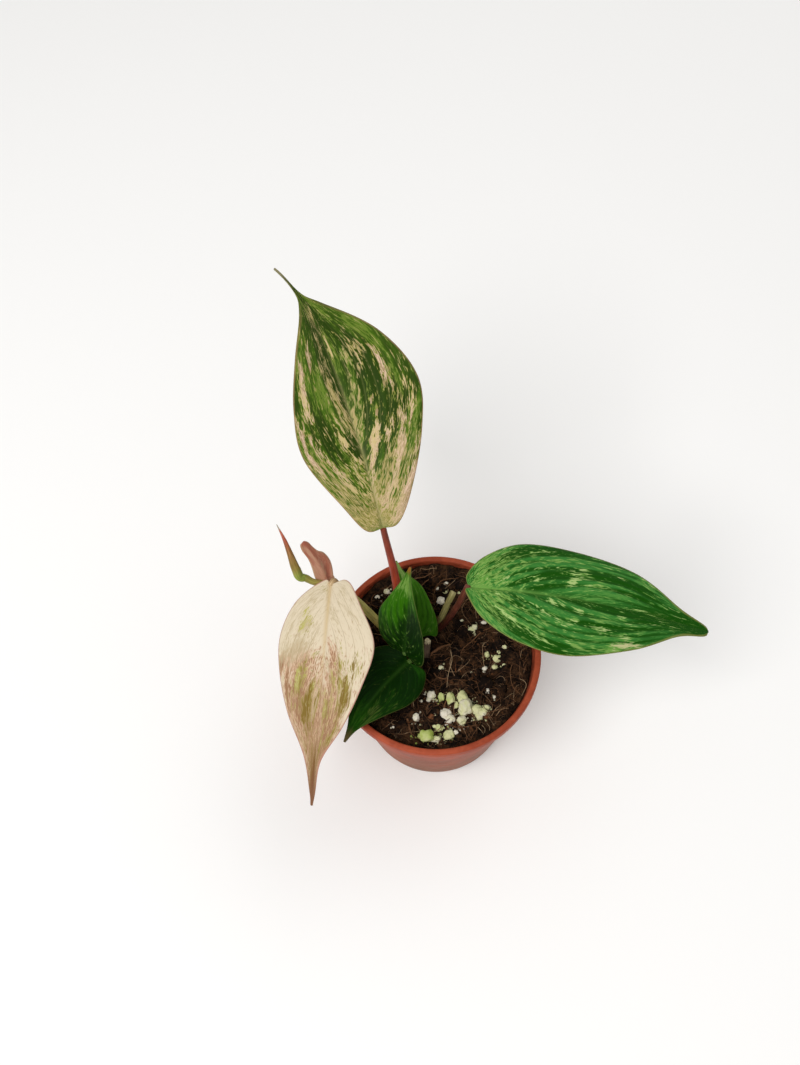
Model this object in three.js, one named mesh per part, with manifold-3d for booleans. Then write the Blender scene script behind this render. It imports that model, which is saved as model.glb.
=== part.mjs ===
// A young marble variegated philodendron micans in a 6 cm nursery pot.
// Millimetres, +Z up. The origin is the middle of the pot's base, on the surface it stands on.
// The plant's front, where the small leaves lie over the rim, faces -Y.
import * as THREE from "three";
import { mergeVertices } from "three/addons/utils/BufferGeometryUtils.js";
import Module from "manifold-3d";

const wasm = await Module();
wasm.setup();

const pot = {
  rimRadius: 30,
  height: 50,
  baseRadius: 22,
  wall: 1,
  lipWidth: 1.8,
  lipDepth: 3,
  lipRounding: 0.6,
  drainHoles: 6,
  drainHoleRadius: 2.5,
  drainCircleRadius: 13,
  sides: 48,
};

const soil = {
  level: 43, // height of its top, which leaves 7 mm of wall bare
  roughness: 0.33,
  rings: 8,
  sides: 36,
};

const clearance = 0.3; // between pieces that stand in or on each other
const bladeThickness = 0.6;
const stalkSides = 8;

// The lumps of perlite that show most, each [x, y, radius]; the small ones follow by a seeded rule.
const largePerlite = [
  [7.2, -13.6, 2.6],
  [3.7, -13.2, 1.5],
  [1.4, -16.8, 2.0],
  [6.0, -19.0, 1.4],
  [11.0, -16.6, 2.0],
  [-3.8, -23.2, 2.2],
  [2.9, -23.0, 1.7],
  [16.2, -1.4, 1.6],
  [4.1, 18.6, 1.4],
];
const smallPerlite = { count: 14, smallest: 0.6, largest: 1.1, seed: 11, fromEdge: 3 };
const perliteForm = { narrowest: 0.85, widest: 1.15, height: 0.75, raised: 0.1 };

// Each leaf: where its stalk meets the blade, the midrib's length and the usual half width, and in
// degrees the way it points from above, how it rises and then droops, swings and hooks sideways,
// how far it is rolled and twisted about the midrib, and how each half is folded up and curls down,
// at the base and at the tip. left and right are outline points from base to tip: how far along the
// midrib, and how far out in half widths.
const leaves = {
  marbled_leaf: {
    base: [-12.1, 20.5, 88],
    length: 79.7,
    halfWidth: 17.1,
    points: 102,
    rise: 29.6,
    droop: 27.9,
    swing: 8.6,
    hook: 21.8,
    roll: -3.4,
    twist: 1,
    fold: [17, 15],
    curl: [7, 8.5],
    left: [
      [0, 0], [0.005, 0.28], [0.09, 0.53], [0.275, 0.935], [0.44, 0.86],
      [0.62, 0.55], [0.79, 0.155], [0.87, 0.033], [1, 0.015],
    ],
    right: [
      [0, 0], [0.005, 0.25], [0.09, 0.55], [0.275, 0.985], [0.44, 1.175],
      [0.62, 0.88], [0.79, 0.255], [0.87, 0.04], [1, 0.015],
    ],
    rows: 22,
    columns: 5,
  },
  green_leaf: {
    base: [9.3, 8.2, 75],
    length: 69.7,
    halfWidth: 15.3,
    points: -7.9,
    rise: -1.6,
    droop: 25.6,
    swing: -2.8,
    hook: 0,
    roll: 3.8,
    twist: -7.9,
    fold: [9, 9.3],
    curl: [22.8, 21.7],
    left: [
      [0, 0], [-0.005, 0.24], [0.063, 0.63], [0.203, 0.96], [0.403, 0.945],
      [0.662, 0.725], [0.856, 0.275], [0.976, 0.1], [1, 0.02],
    ],
    right: [
      [0, 0], [-0.005, 0.145], [0.063, 0.61], [0.203, 0.955], [0.403, 1.065],
      [0.662, 0.735], [0.856, 0.28], [0.976, 0.125], [1, 0.02],
    ],
    rows: 20,
    columns: 5,
  },
  pink_leaf: {
    base: [-27.7, 13.5, 70],
    length: 62,
    halfWidth: 14.2,
    points: -98.8,
    rise: -15,
    droop: 29.7,
    swing: -2.9,
    hook: 0,
    roll: -15.3,
    twist: -18.2,
    fold: [8.6, 10.9],
    curl: [17.2, 16.3],
    left: [
      [0, 0], [-0.02, 0.365], [0.085, 0.685], [0.245, 1.05], [0.413, 0.91],
      [0.594, 0.61], [0.773, 0.17], [0.94, 0.08], [1, 0.02],
    ],
    right: [
      [0, 0], [-0.02, 0.14], [0.085, 0.685], [0.245, 0.985], [0.413, 0.945],
      [0.594, 0.695], [0.773, 0.255], [0.94, 0.06], [1, 0.02],
    ],
    rows: 20,
    columns: 5,
  },
  upright_small_leaf: {
    base: [-8.6, -3.1, 58],
    length: 28.3,
    halfWidth: 9.4,
    points: 77.7,
    rise: 62.9,
    droop: 9.7,
    swing: 2.5,
    hook: 0,
    roll: 36.4,
    twist: 10.5,
    fold: [10.8, 21.5],
    curl: [8.4, 8],
    left: [
      [0, 0], [-0.009, 0.31], [-0.013, 0.555], [0.1, 0.97], [0.37, 1.01], [0.606, 0.655],
      [0.837, 0.255], [1, 0.03],
    ],
    right: [
      [0, 0], [-0.009, 0.32], [-0.013, 0.645], [0.1, 0.88], [0.37, 0.885], [0.606, 0.6],
      [0.837, 0.166], [1, 0.03],
    ],
    rows: 14,
    columns: 4,
  },
  flat_small_leaf: {
    base: [-7.9, -3.3, 51],
    length: 29.5,
    halfWidth: 9.3,
    points: -137.8,
    rise: 15.5,
    droop: 20.8,
    swing: 16.3,
    hook: 0,
    roll: 6,
    twist: 0,
    fold: [4.5, 8.4],
    curl: [13.4, 11.6],
    left: [
      [0, 0], [-0.05, 0.33], [-0.046, 0.63], [0.12, 0.94], [0.346, 0.93], [0.596, 0.58],
      [0.839, 0.168], [1, 0.03],
    ],
    right: [
      [0, 0], [-0.05, 0.31], [-0.046, 0.56], [0.12, 1.015], [0.346, 0.93], [0.596, 0.6],
      [0.839, 0.187], [1, 0.03],
    ],
    rows: 14,
    columns: 4,
  },
  hidden_small_leaf: {
    base: [-4.1, 4.2, 50],
    length: 23.3,
    halfWidth: 5.9,
    points: 103.5,
    rise: 25.2,
    droop: 14.5,
    swing: 1,
    hook: 0,
    roll: -2.6,
    twist: 1.7,
    fold: [9.2, 10.1],
    curl: [10.8, 9.7],
    left: [
      [0, 0], [-0.03, 0.2], [-0.03, 0.4], [0.133, 0.58], [0.351, 0.58], [0.613, 0.45], [0.84, 0.2],
      [1, 0.04],
    ],
    right: [
      [0, 0], [0, 0.45], [-0.03, 0.83], [0.12, 1.03], [0.34, 1.0], [0.613, 0.8], [0.84, 0.22],
      [1, 0.04],
    ],
    rows: 12,
    columns: 3,
  },
};

// The scale leaf beside the last node is shaped like a small, stiff, half open boat.
const budSheath = {
  base: [-29.2, 16.4, 68.3],
  length: 12.3,
  halfWidth: 2.7,
  points: 112,
  rise: 50,
  droop: 14,
  swing: 30,
  hook: 0,
  roll: 8,
  twist: 0,
  fold: [-30, -12],
  curl: [30, 30],
  left: [[0, 0], [0.01, 0.4], [0.03, 0.9], [0.3, 0.9], [0.6, 0.85], [0.85, 0.6], [0.96, 0.35], [1, 0.1]],
  right: [[0, 0], [0.01, 0.5], [0.03, 1.15], [0.28, 1.65], [0.55, 1.45], [0.8, 0.85], [0.95, 0.45], [1, 0.1]],
  rows: 8,
  columns: 3,
};

// Stems, stalks and the growing tip: points that the middle line goes through, from foot to top, and
// the radius at stops along it, each [share of the length, radius].
const stems = {
  main_stem: {
    route: [
      [-5.6, 0.6, 35], [-5.6, 1.5, 42], [-9.7, 5, 46], [-14.5, 8.4, 50], [-19.9, 12.1, 57.5],
      [-24.2, 14, 63.5], [-28, 15.2, 66.6], [-32.2, 15.3, 68.6], [-34.6, 16.2, 70],
    ],
    radius: [
      [0, 1.4], [0.25, 1.35], [0.32, 1.5], [0.39, 1.25], [0.72, 1.2], [0.8, 1.5], [0.86, 1.05],
      [0.95, 0.85], [1, 1.05],
    ],
    steps: 22,
  },
  marbled_leaf_stalk: {
    route: [[-10.6, 5.8, 46.9], [-10.8, 7.4, 52], [-9.6, 12.5, 66], [-12.1, 20.5, 88]],
    radius: [[0, 1.35], [0.5, 1.2], [1, 0.85]],
    steps: 10,
    carriedBy: "main_stem",
    top: "marbled_leaf",
  },
  green_leaf_stalk: {
    route: [[-0.9, 8.2, 36], [-0.4, 8.1, 43.5], [1.8, 7.7, 48], [5.8, 7.3, 61], [9.3, 8.2, 75]],
    radius: [[0, 1.1], [0.2, 1], [1, 0.8]],
    steps: 10,
    top: "green_leaf",
  },
  pink_leaf_stalk: {
    route: [[-26.2, 14.4, 66], [-26.2, 14.7, 68.6], [-26.8, 14.6, 70.2], [-27.7, 13.5, 70]],
    radius: [[0, 1], [1, 0.75]],
    steps: 7,
    carriedBy: "main_stem",
    top: "pink_leaf",
  },
  upright_small_leaf_stalk: {
    route: [[-8.6, -0.6, 38], [-8.1, -0.4, 44], [-7.3, -0.3, 50], [-7.6, -1.2, 54.5], [-8.6, -3.1, 58]],
    radius: [[0, 0.8], [1, 0.7]],
    steps: 8,
    top: "upright_small_leaf",
  },
  flat_small_leaf_stalk: {
    route: [[-4.4, -2.4, 38], [-4.7, -2.2, 44], [-5.2, -1.9, 48], [-6.3, -2.1, 50.2], [-7.9, -3.3, 51]],
    radius: [[0, 0.8], [1, 0.7]],
    steps: 8,
    top: "flat_small_leaf",
  },
  hidden_small_leaf_stalk: {
    route: [[-3.2, 5.2, 38], [-3.2, 5.2, 43], [-3.6, 4.6, 47.5], [-4.1, 4.2, 50]],
    radius: [[0, 0.8], [1, 0.6]],
    steps: 6,
    top: "hidden_small_leaf",
  },
  growing_tip: {
    route: [
      [-34.6, 16.2, 70], [-35.9, 16.3, 70.3], [-36.8, 18, 71.9], [-38, 21.3, 75],
      [-39.3, 24.6, 77.6], [-41, 27.9, 80],
    ],
    radius: [[0, 1], [0.12, 1.3], [0.3, 1.2], [0.5, 0.85], [0.7, 0.55], [0.88, 0.26], [1, 0.1]],
    steps: 12,
    carriedBy: "main_stem",
  },
  cut_stalk: {
    route: [[0.9, 10, 40], [2.5, 12.2, 43.6], [4.6, 15.7, 45.4], [6.8, 19.2, 47]],
    radius: [[0, 0.9], [1, 0.95]],
    steps: 6,
  },
  dry_stub: {
    route: [[-2.3, 0.9, 38], [-2.4, 1.2, 44], [-2, 2.8, 51.2]],
    radius: [[0, 0.95], [1, 0.85]],
    steps: 4,
  },
};

// Repeatable draws from 0 to 1.
function seededDraws(seed) {
  let state = seed;
  return () => {
    state = (Math.imul(state, 1664525) + 1013904223) >>> 0;
    return state / 4294967296;
  };
}

function toSolid(geometry) {
  const plain = geometry.clone();
  plain.deleteAttribute("normal");
  plain.deleteAttribute("uv");
  const merged = mergeVertices(plain, 1e-4);
  return new wasm.Manifold(
    new wasm.Mesh({
      numProp: 3,
      vertProperties: new Float32Array(merged.attributes.position.array),
      triVerts: new Uint32Array(merged.index.array),
    }),
  );
}

function toGeometry(solid) {
  const mesh = solid.getMesh();
  const geometry = new THREE.BufferGeometry();
  geometry.setAttribute("position", new THREE.BufferAttribute(new Float32Array(mesh.vertProperties), 3));
  geometry.setIndex(new THREE.BufferAttribute(new Uint32Array(mesh.triVerts), 1));
  return geometry;
}

// A round profile, each point [radius, height], turned about the Z axis.
function turned(profile, sides) {
  const points = profile.map(([radius, height]) => new THREE.Vector2(radius, height));
  return new THREE.LatheGeometry(points, sides).rotateX(Math.PI / 2);
}

// The leaf as a surface: along is a share of the midrib, out is millimetres from it, + to the right.
class LeafSurface {
  constructor(shape) {
    this.shape = shape;
    this.steps = 160;
    this.centres = [new THREE.Vector3(...shape.base)];
    for (let i = 0; i < this.steps; i++) {
      const direction = this.direction((i + 0.5) / this.steps);
      this.centres.push(this.centres[i].clone().addScaledVector(direction, shape.length / this.steps));
    }
  }

  heading(along) {
    const { points, swing, hook } = this.shape;
    return THREE.MathUtils.degToRad(points + swing * along + hook * along ** 6);
  }

  direction(along) {
    const lift = THREE.MathUtils.degToRad(this.shape.rise - this.shape.droop * along);
    const heading = this.heading(along);
    return new THREE.Vector3(
      Math.cos(lift) * Math.cos(heading),
      Math.cos(lift) * Math.sin(heading),
      Math.sin(lift),
    );
  }

  // The point, and the upper side's normal there.
  at(along, out) {
    const { length, halfWidth, roll, twist, fold, curl } = this.shape;
    const inside = THREE.MathUtils.clamp(along, 0, 1);
    const forward = this.direction(inside);
    const heading = this.heading(inside);
    const level = new THREE.Vector3(Math.sin(heading), -Math.cos(heading), 0);
    const right = level.clone().applyAxisAngle(forward, -THREE.MathUtils.degToRad(roll + twist * inside));
    const up = right.clone().cross(forward);
    const step = Math.min(inside * this.steps, this.steps - 1e-6);
    const centre = this.centres[Math.floor(step)]
      .clone()
      .lerp(this.centres[Math.floor(step) + 1], step % 1)
      .addScaledVector(forward, Math.min(along, 0) * length);
    const folded = THREE.MathUtils.degToRad(THREE.MathUtils.lerp(fold[0], fold[1], inside));
    const bend = THREE.MathUtils.degToRad(THREE.MathUtils.lerp(curl[0], curl[1], inside)) / halfWidth;
    const slope = folded - bend * Math.abs(out);
    const side = Math.sign(out);
    return {
      point: centre
        .addScaledVector(right, (side * (Math.sin(folded) - Math.sin(slope))) / bend)
        .addScaledVector(up, (Math.cos(slope) - Math.cos(folded)) / bend),
      normal: up.multiplyScalar(Math.cos(slope)).addScaledVector(right, -side * Math.sin(slope)).normalize(),
    };
  }
}

// A thin closed blade: rows run from the midrib out to the margin, as the side veins do, and both
// faces are split into triangles alike.
function blade(shape, thickness = bladeThickness) {
  const surface = new LeafSurface(shape);
  const outline = (side) => {
    const points = side.map(([along, out]) => new THREE.Vector3(along, out, 0));
    return new THREE.CatmullRomCurve3(points, false, "catmullrom");
  };
  const left = outline(shape.left);
  const right = outline(shape.right);
  const { rows, columns } = shape;
  const firstRow = 0.035; // wide enough to leave no sliver at the stalk
  const sweep = 1.6; // how far the side veins run forward
  const across = 2 * columns + 1;
  const upper = [];
  const lower = [];
  for (let i = 0; i <= rows; i++) {
    const share = THREE.MathUtils.lerp(firstRow, 1, i / rows);
    const onMidrib = share ** sweep;
    for (let j = -columns; j <= columns; j++) {
      const margin = (j < 0 ? left : right).getPoint(share);
      const outward = Math.abs(j) / columns;
      const along = THREE.MathUtils.lerp(i === 0 ? 0 : onMidrib, margin.x, outward);
      const { point, normal } = surface.at(along, Math.sign(j) * outward * margin.y * shape.halfWidth);
      upper.push(point.clone().addScaledVector(normal, thickness / 2));
      lower.push(point.clone().addScaledVector(normal, -thickness / 2));
    }
  }
  const faces = [];
  const under = upper.length;
  const quad = (a, b, c, d) => faces.push(a, b, c, a, c, d);
  for (let i = 0; i < rows; i++) {
    for (let j = 0; j < across - 1; j++) {
      const a = i * across + j;
      const b = a + across;
      quad(a, a + 1, b + 1, b);
      faces.push(under + a, under + b + 1, under + a + 1, under + a, under + b, under + b + 1);
    }
    const first = i * across;
    const last = first + across - 1;
    quad(first, first + across, under + first + across, under + first);
    quad(last + across, last, under + last, under + last + across);
  }
  const tip = rows * across;
  for (let j = 0; j < across - 1; j++) {
    quad(j + 1, j, under + j, under + j + 1);
    quad(tip + j, tip + j + 1, under + tip + j + 1, under + tip + j);
  }
  const geometry = new THREE.BufferGeometry().setFromPoints([...upper, ...lower]);
  geometry.setIndex(faces);
  return geometry;
}

// A round stem along its route. more is added to its radius and past its ends.
function stem({ route, radius, steps }, more = 0) {
  const points = route.map((point) => new THREE.Vector3(...point));
  const curve = new THREE.CatmullRomCurve3(points, false, "centripetal");
  const frames = curve.computeFrenetFrames(steps, false);
  const radiusAt = (share) => {
    const next = Math.max(1, radius.findIndex(([stop]) => stop >= share));
    const [fromStop, fromRadius] = radius[next - 1];
    const [toStop, toRadius] = radius[next];
    return THREE.MathUtils.mapLinear(share, fromStop, toStop, fromRadius, toRadius) + more;
  };
  const stops = Array.from({ length: steps + 1 }, (_, i) => i);
  const profile = [
    [0, 0],
    ...stops.map((i) => [radiusAt(i / steps), i]),
    [0, steps],
  ].map(([r, i]) => new THREE.Vector2(r, i));
  const geometry = new THREE.LatheGeometry(profile, stalkSides);
  const position = geometry.attributes.position;
  for (let k = 0; k < position.count; k++) {
    const i = Math.round(position.getY(k));
    const beyond = i === 0 ? -more : i === steps ? more : 0;
    const placed = curve
      .getPointAt(i / steps)
      .addScaledVector(frames.tangents[i], beyond)
      .addScaledVector(frames.normals[i], position.getX(k))
      .addScaledVector(frames.binormals[i], -position.getZ(k));
    position.setXYZ(k, placed.x, placed.y, placed.z);
  }
  return geometry;
}

// Height of the soil's uneven top at a place.
function soilTop(x, y) {
  const broad = Math.sin(0.55 * x + 0.4) * Math.cos(0.47 * y);
  const waves = broad + 0.6 * Math.sin(0.9 * y + 0.35 * x) + 0.5 * Math.cos(1.3 * x - 0.8 * y);
  return soil.level + soil.roughness * waves;
}

function potWallRadius(height) {
  const topRadius = pot.rimRadius - pot.lipWidth + pot.wall;
  return THREE.MathUtils.mapLinear(height, 0, pot.height, pot.baseRadius, topRadius);
}

function potSolid() {
  const { rimRadius, height, baseRadius, wall, lipWidth, lipDepth, lipRounding } = pot;
  const underLip = height - lipDepth;
  const shell = turned(
    [
      [0, 0],
      [baseRadius - wall, 0],
      [baseRadius, wall],
      [potWallRadius(underLip), underLip],
      [rimRadius - lipRounding, underLip],
      [rimRadius, underLip + lipRounding],
      [rimRadius, height - lipRounding],
      [rimRadius - lipRounding, height],
      [rimRadius - lipWidth + lipRounding, height],
      [rimRadius - lipWidth, height - lipRounding],
      [potWallRadius(2 * wall) - wall, 2 * wall],
      [potWallRadius(wall) - 2 * wall, wall],
      [0, wall],
    ],
    pot.sides,
  );
  let solid = toSolid(shell);
  for (let i = 0; i < pot.drainHoles; i++) {
    const angle = (i / pot.drainHoles) * 2 * Math.PI;
    const hole = new THREE.CylinderGeometry(pot.drainHoleRadius, pot.drainHoleRadius, 4 * wall, 12)
      .rotateX(Math.PI / 2)
      .translate(pot.drainCircleRadius * Math.cos(angle), pot.drainCircleRadius * Math.sin(angle), 0);
    solid = solid.subtract(toSolid(hole));
  }
  return solid;
}

function perliteLump(x, y, radius, detail, draw) {
  const { narrowest, widest, height, raised } = perliteForm;
  const width = () => THREE.MathUtils.lerp(narrowest, widest, draw());
  const lump = new THREE.IcosahedronGeometry(radius, detail);
  lump.rotateX(draw() * Math.PI).rotateZ(draw() * Math.PI);
  lump.scale(width(), width(), height);
  return toSolid(lump.translate(x, y, soilTop(x, y) + raised * radius));
}

function soilSolid() {
  const edge = (height) => potWallRadius(height) - pot.wall - clearance;
  const top = [];
  for (let i = soil.rings; i > 0; i--) top.push([(edge(soil.level) * i) / soil.rings, soil.level]);
  const floor = pot.wall + clearance;
  const corner = 1.6;
  const below = [[0, floor], [edge(floor) - corner, floor], [edge(floor + corner), floor + corner]];
  const plug = turned([...below, ...top, [0, soil.level]], soil.sides);
  const position = plug.attributes.position;
  for (let k = 0; k < position.count; k++)
    if (position.getZ(k) > soil.level - 0.01) position.setZ(k, soilTop(position.getX(k), position.getY(k)));
  let solid = toSolid(plug);
  const draw = seededDraws(smallPerlite.seed);
  for (const [x, y, radius] of largePerlite) solid = solid.add(perliteLump(x, y, radius, 1, draw));
  for (let i = 0; i < smallPerlite.count; i++) {
    const angle = draw() * 2 * Math.PI;
    const out = Math.sqrt(draw()) * (edge(soil.level) - smallPerlite.fromEdge);
    const radius = THREE.MathUtils.lerp(smallPerlite.smallest, smallPerlite.largest, draw());
    solid = solid.add(perliteLump(out * Math.cos(angle), out * Math.sin(angle), radius, 0, draw));
  }
  // Plain holes for whatever stands in the soil.
  for (const one of Object.values(stems)) solid = solid.subtract(toSolid(stem(one, clearance)));
  return solid;
}

// A stalk is cut back to stand just clear of the blade that it carries and the stem that it grows from.
function stemSolid(shape) {
  let solid = toSolid(stem(shape));
  if (shape.top) {
    const leaf = leaves[shape.top];
    const back = new LeafSurface(leaf).direction(0).negate();
    const room = toSolid(blade(leaf, bladeThickness + 2 * clearance));
    solid = solid
      .subtract(room)
      .subtract(room.translate(back.clone().multiplyScalar(clearance).toArray()))
      .trimByPlane(back.toArray(), back.dot(new THREE.Vector3(...leaf.base)) + clearance);
  }
  if (shape.carriedBy) solid = solid.subtract(toSolid(stem(stems[shape.carriedBy], clearance)));
  return solid;
}

const finishes = {
  pot: { color: 0xb4512f, roughness: 0.5 },
  soil: { color: 0x2a1b13, roughness: 0.95 },
  main_stem: { color: 0x8f9a45, roughness: 0.45 },
  marbled_leaf: { color: 0x6f8c45, roughness: 0.4 },
  marbled_leaf_stalk: { color: 0x7d3326, roughness: 0.4 },
  green_leaf: { color: 0x3f8f2f, roughness: 0.35 },
  green_leaf_stalk: { color: 0x4a211b, roughness: 0.4 },
  pink_leaf: { color: 0xd9bfa5, roughness: 0.45 },
  pink_leaf_stalk: { color: 0xb08a5c, roughness: 0.45 },
  upright_small_leaf: { color: 0x1f5a1a, roughness: 0.35 },
  flat_small_leaf: { color: 0x164214, roughness: 0.35 },
  hidden_small_leaf: { color: 0x27611f, roughness: 0.35 },
  small_stalk: { color: 0x5a5a2c, roughness: 0.45 },
  growing_tip: { color: 0x9a5a35, roughness: 0.45 },
  bud_sheath: { color: 0xb67a64, roughness: 0.5 },
  cut_stalk: { color: 0x85804a, roughness: 0.6 },
  dry_stub: { color: 0x6d5a4c, roughness: 0.8 },
};

const plant = new THREE.Group();

function addPiece(name, geometry, finish = name) {
  geometry.computeVertexNormals();
  const material = new THREE.MeshStandardMaterial({ ...finishes[finish], metalness: 0 });
  const mesh = new THREE.Mesh(geometry, material);
  mesh.name = name;
  plant.add(mesh);
}

addPiece("pot", toGeometry(potSolid()));
addPiece("soil", toGeometry(soilSolid()));
for (const [name, shape] of Object.entries(leaves)) addPiece(name, blade(shape));
addPiece("bud_sheath", blade(budSheath));
for (const [name, shape] of Object.entries(stems))
  addPiece(name, toGeometry(stemSolid(shape)), name.includes("small_leaf_stalk") ? "small_stalk" : name);

export default plant;
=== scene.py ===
# Marble variegated philodendron micans, a young plant in a 6 cm nursery pot.
# Sizes in the dictionaries are millimetres, Z up, from the middle of the pot's base.
# Meshes are turned to metres when they are made.

import math
import random

import bmesh
import bpy
import numpy as np
from mathutils import Matrix, Vector, noise


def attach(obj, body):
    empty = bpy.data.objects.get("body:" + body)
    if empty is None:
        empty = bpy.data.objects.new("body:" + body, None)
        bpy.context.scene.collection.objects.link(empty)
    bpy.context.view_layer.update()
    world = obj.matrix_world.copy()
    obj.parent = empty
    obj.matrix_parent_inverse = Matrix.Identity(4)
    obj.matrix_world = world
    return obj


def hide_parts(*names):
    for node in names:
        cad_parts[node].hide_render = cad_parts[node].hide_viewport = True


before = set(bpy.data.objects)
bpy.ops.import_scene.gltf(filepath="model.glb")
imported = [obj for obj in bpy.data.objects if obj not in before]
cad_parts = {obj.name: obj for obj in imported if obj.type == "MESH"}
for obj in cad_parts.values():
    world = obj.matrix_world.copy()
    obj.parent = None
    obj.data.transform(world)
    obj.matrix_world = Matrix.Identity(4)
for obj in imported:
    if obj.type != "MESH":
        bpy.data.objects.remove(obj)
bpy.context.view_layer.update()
mm = 0.001
print("frame loaded,", len(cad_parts), "solids")


# Small helpers for meshes

def newPiece(name, points, faces, material, nodes=()):
    mesh = bpy.data.meshes.new(name)
    mesh.from_pydata([tuple(p) for p in np.asarray(points) * mm], [], faces)
    mesh.materials.append(material)
    mesh.polygons.foreach_set("use_smooth", [True] * len(mesh.polygons))
    mesh.update()
    piece = bpy.data.objects.new(name, mesh)
    bpy.context.scene.collection.objects.link(piece)
    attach(piece, "root")
    for node in nodes:
        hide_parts(node)
    return piece


def addValues(piece, name, values):
    layer = piece.data.attributes.new(name, "FLOAT", "POINT")
    layer.data.foreach_set("value", np.asarray(values, np.float32).ravel())


def addMap(piece, name, places):
    # places holds an across and an along for every face corner
    layer = piece.data.uv_layers.new(name=name)
    layer.uv.foreach_set("vector", np.asarray(places, np.float32).ravel())


def newHeap():
    # the points, faces and tints of a piece that is made of many loose ones
    return {"points": [], "faces": [], "tints": []}


def addToHeap(heap, points, faces, tint):
    start = len(heap["tints"])
    heap["points"].append(points)
    heap["faces"] += [[v + start for v in face] for face in faces]
    heap["tints"] += [tint] * len(points)


def heapPiece(name, heap, material):
    piece = newPiece(name, np.vstack(heap["points"]), heap["faces"], material)
    addValues(piece, "tint", heap["tints"])
    return piece


def joinRings(rings):
    # faces between rings of point numbers, from each ring to the next. A ring of one is a middle point
    faces = []
    for below, above in zip(rings, rings[1:]):
        sides = max(len(below), len(above))
        for i in range(sides):
            j = (i + 1) % sides
            if len(below) == 1:
                faces.append((below[0], above[j], above[i]))
            elif len(above) == 1:
                faces.append((below[i], below[j], above[0]))
            else:
                faces.append((below[i], below[j], above[j], above[i]))
    return faces


def ease(values, low, high):
    t = np.clip((values - low) / (high - low), 0, 1)
    return t * t * (3 - 2 * t)


# Small helpers for materials

def paint(code):
    parts = [int(code[i:i + 2], 16) / 255 for i in (1, 3, 5)]
    return tuple(c / 12.92 if c <= 0.04045 else ((c + 0.055) / 1.055) ** 2.4 for c in parts) + (1,)


def newMaterial(name, roughness, shine, sheen=0.0):
    material = bpy.data.materials.new(name)
    material.use_nodes = True
    shader = material.node_tree.nodes["Principled BSDF"]
    shader.inputs["Roughness"].default_value = roughness
    shader.inputs["Specular IOR Level"].default_value = shine
    shader.inputs["Sheen Weight"].default_value = sheen
    shader.inputs["Sheen Roughness"].default_value = 0.35
    return material, material.node_tree, shader


def addNode(tree, kind, values=(), **settings):
    node = tree.nodes.new(kind)
    for name, value in settings.items():
        setattr(node, name, value)
    for name, value in dict(values).items():
        if isinstance(value, bpy.types.NodeSocket):
            tree.links.new(value, node.inputs[name])
        else:
            node.inputs[name].default_value = value
    return node


def calc(tree, operation, first, second):
    return addNode(tree, "ShaderNodeMath", {0: first, 1: second}, operation=operation).outputs[0]


def vectorCalc(tree, operation, values):
    return addNode(tree, "ShaderNodeVectorMath", values, operation=operation).outputs


def step(tree, value, low, high, start=0.0, end=1.0):
    values = {0: value, 1: low, 2: high, 3: start, 4: end}
    return addNode(tree, "ShaderNodeMapRange", values, interpolation_type="SMOOTHSTEP").outputs[0]


def mixed(tree, share, first, second, kind="MIX"):
    values = {0: share, 6: first, 7: second}
    return addNode(tree, "ShaderNodeMix", values, data_type="RGBA", blend_type=kind).outputs[2]


def stretched(tree, vector, scale, shift=(0, 0, 0)):
    values = {"Vector": vector, "Scale": scale, "Location": shift}
    return addNode(tree, "ShaderNodeMapping", values).outputs[0]


def cloud(tree, vector, scale, detail, roughness=0.5):
    values = {"Vector": vector, "Scale": scale, "Detail": detail, "Roughness": roughness}
    return addNode(tree, "ShaderNodeTexNoise", values).outputs[0]


def reading(tree, name):
    return addNode(tree, "ShaderNodeAttribute", attribute_name=name).outputs["Fac"]


def objectPlace(tree):
    return addNode(tree, "ShaderNodeTexCoord").outputs["Object"]


def weighted(tree, *pairs):
    # a sum of clouds about their middle, each with its own weight, after a first plain value
    total = pairs[0]
    for value, weight in pairs[1:]:
        centred = calc(tree, "SUBTRACT", value, 0.5)
        total = calc(tree, "ADD", total, calc(tree, "MULTIPLY", centred, weight))
    return total


def addBump(tree, shader, height, distance, strength):
    values = {"Height": height, "Distance": distance * mm, "Strength": strength}
    bump = addNode(tree, "ShaderNodeBump", values)
    tree.links.new(bump.outputs[0], shader.inputs["Normal"])


# Camera, light and floor

studio = {
    "cameraPlace": (-7.8, -106.8, 333.2),
    "lookDown": 27.15,  # degrees from straight down
    "turned": -3.72,  # degrees about the way it looks
    "lens": 35.8,
    "floor": "#fbfaf8",
    "world": "#ffffff",
    "worldLight": 0.36,
    # from here on in metres
    "floorSize": 6.0,
    "lamps": {
        "key": {"place": (-0.45, -0.45, 1.0), "size": 0.8, "power": 10.0},
        "fill": {"place": (0.6, 0.6, 0.9), "size": 1.2, "power": 3.6},
    },
    "lampsAimAt": (0, 0, 0.05),
}


def makeCamera():
    scene = bpy.context.scene
    tilt = math.radians(studio["lookDown"])
    turn = math.radians(studio["turned"])
    ahead = Vector((0, math.sin(tilt), -math.cos(tilt)))
    level = Vector((1, 0, 0))
    high = Vector((0, math.cos(tilt), math.sin(tilt)))
    side = math.cos(turn) * level + math.sin(turn) * high
    upright = math.cos(turn) * high - math.sin(turn) * level
    data = bpy.data.cameras.new("camera")
    data.lens = studio["lens"]
    data.sensor_width = 36
    data.clip_start = 0.01
    camera = bpy.data.objects.new("camera", data)
    camera.matrix_world = Matrix((side, upright, -ahead)).transposed().to_4x4()
    camera.location = Vector(studio["cameraPlace"]) * mm
    scene.collection.objects.link(camera)
    scene.camera = camera
    scene.view_settings.view_transform = "Standard"


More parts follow.
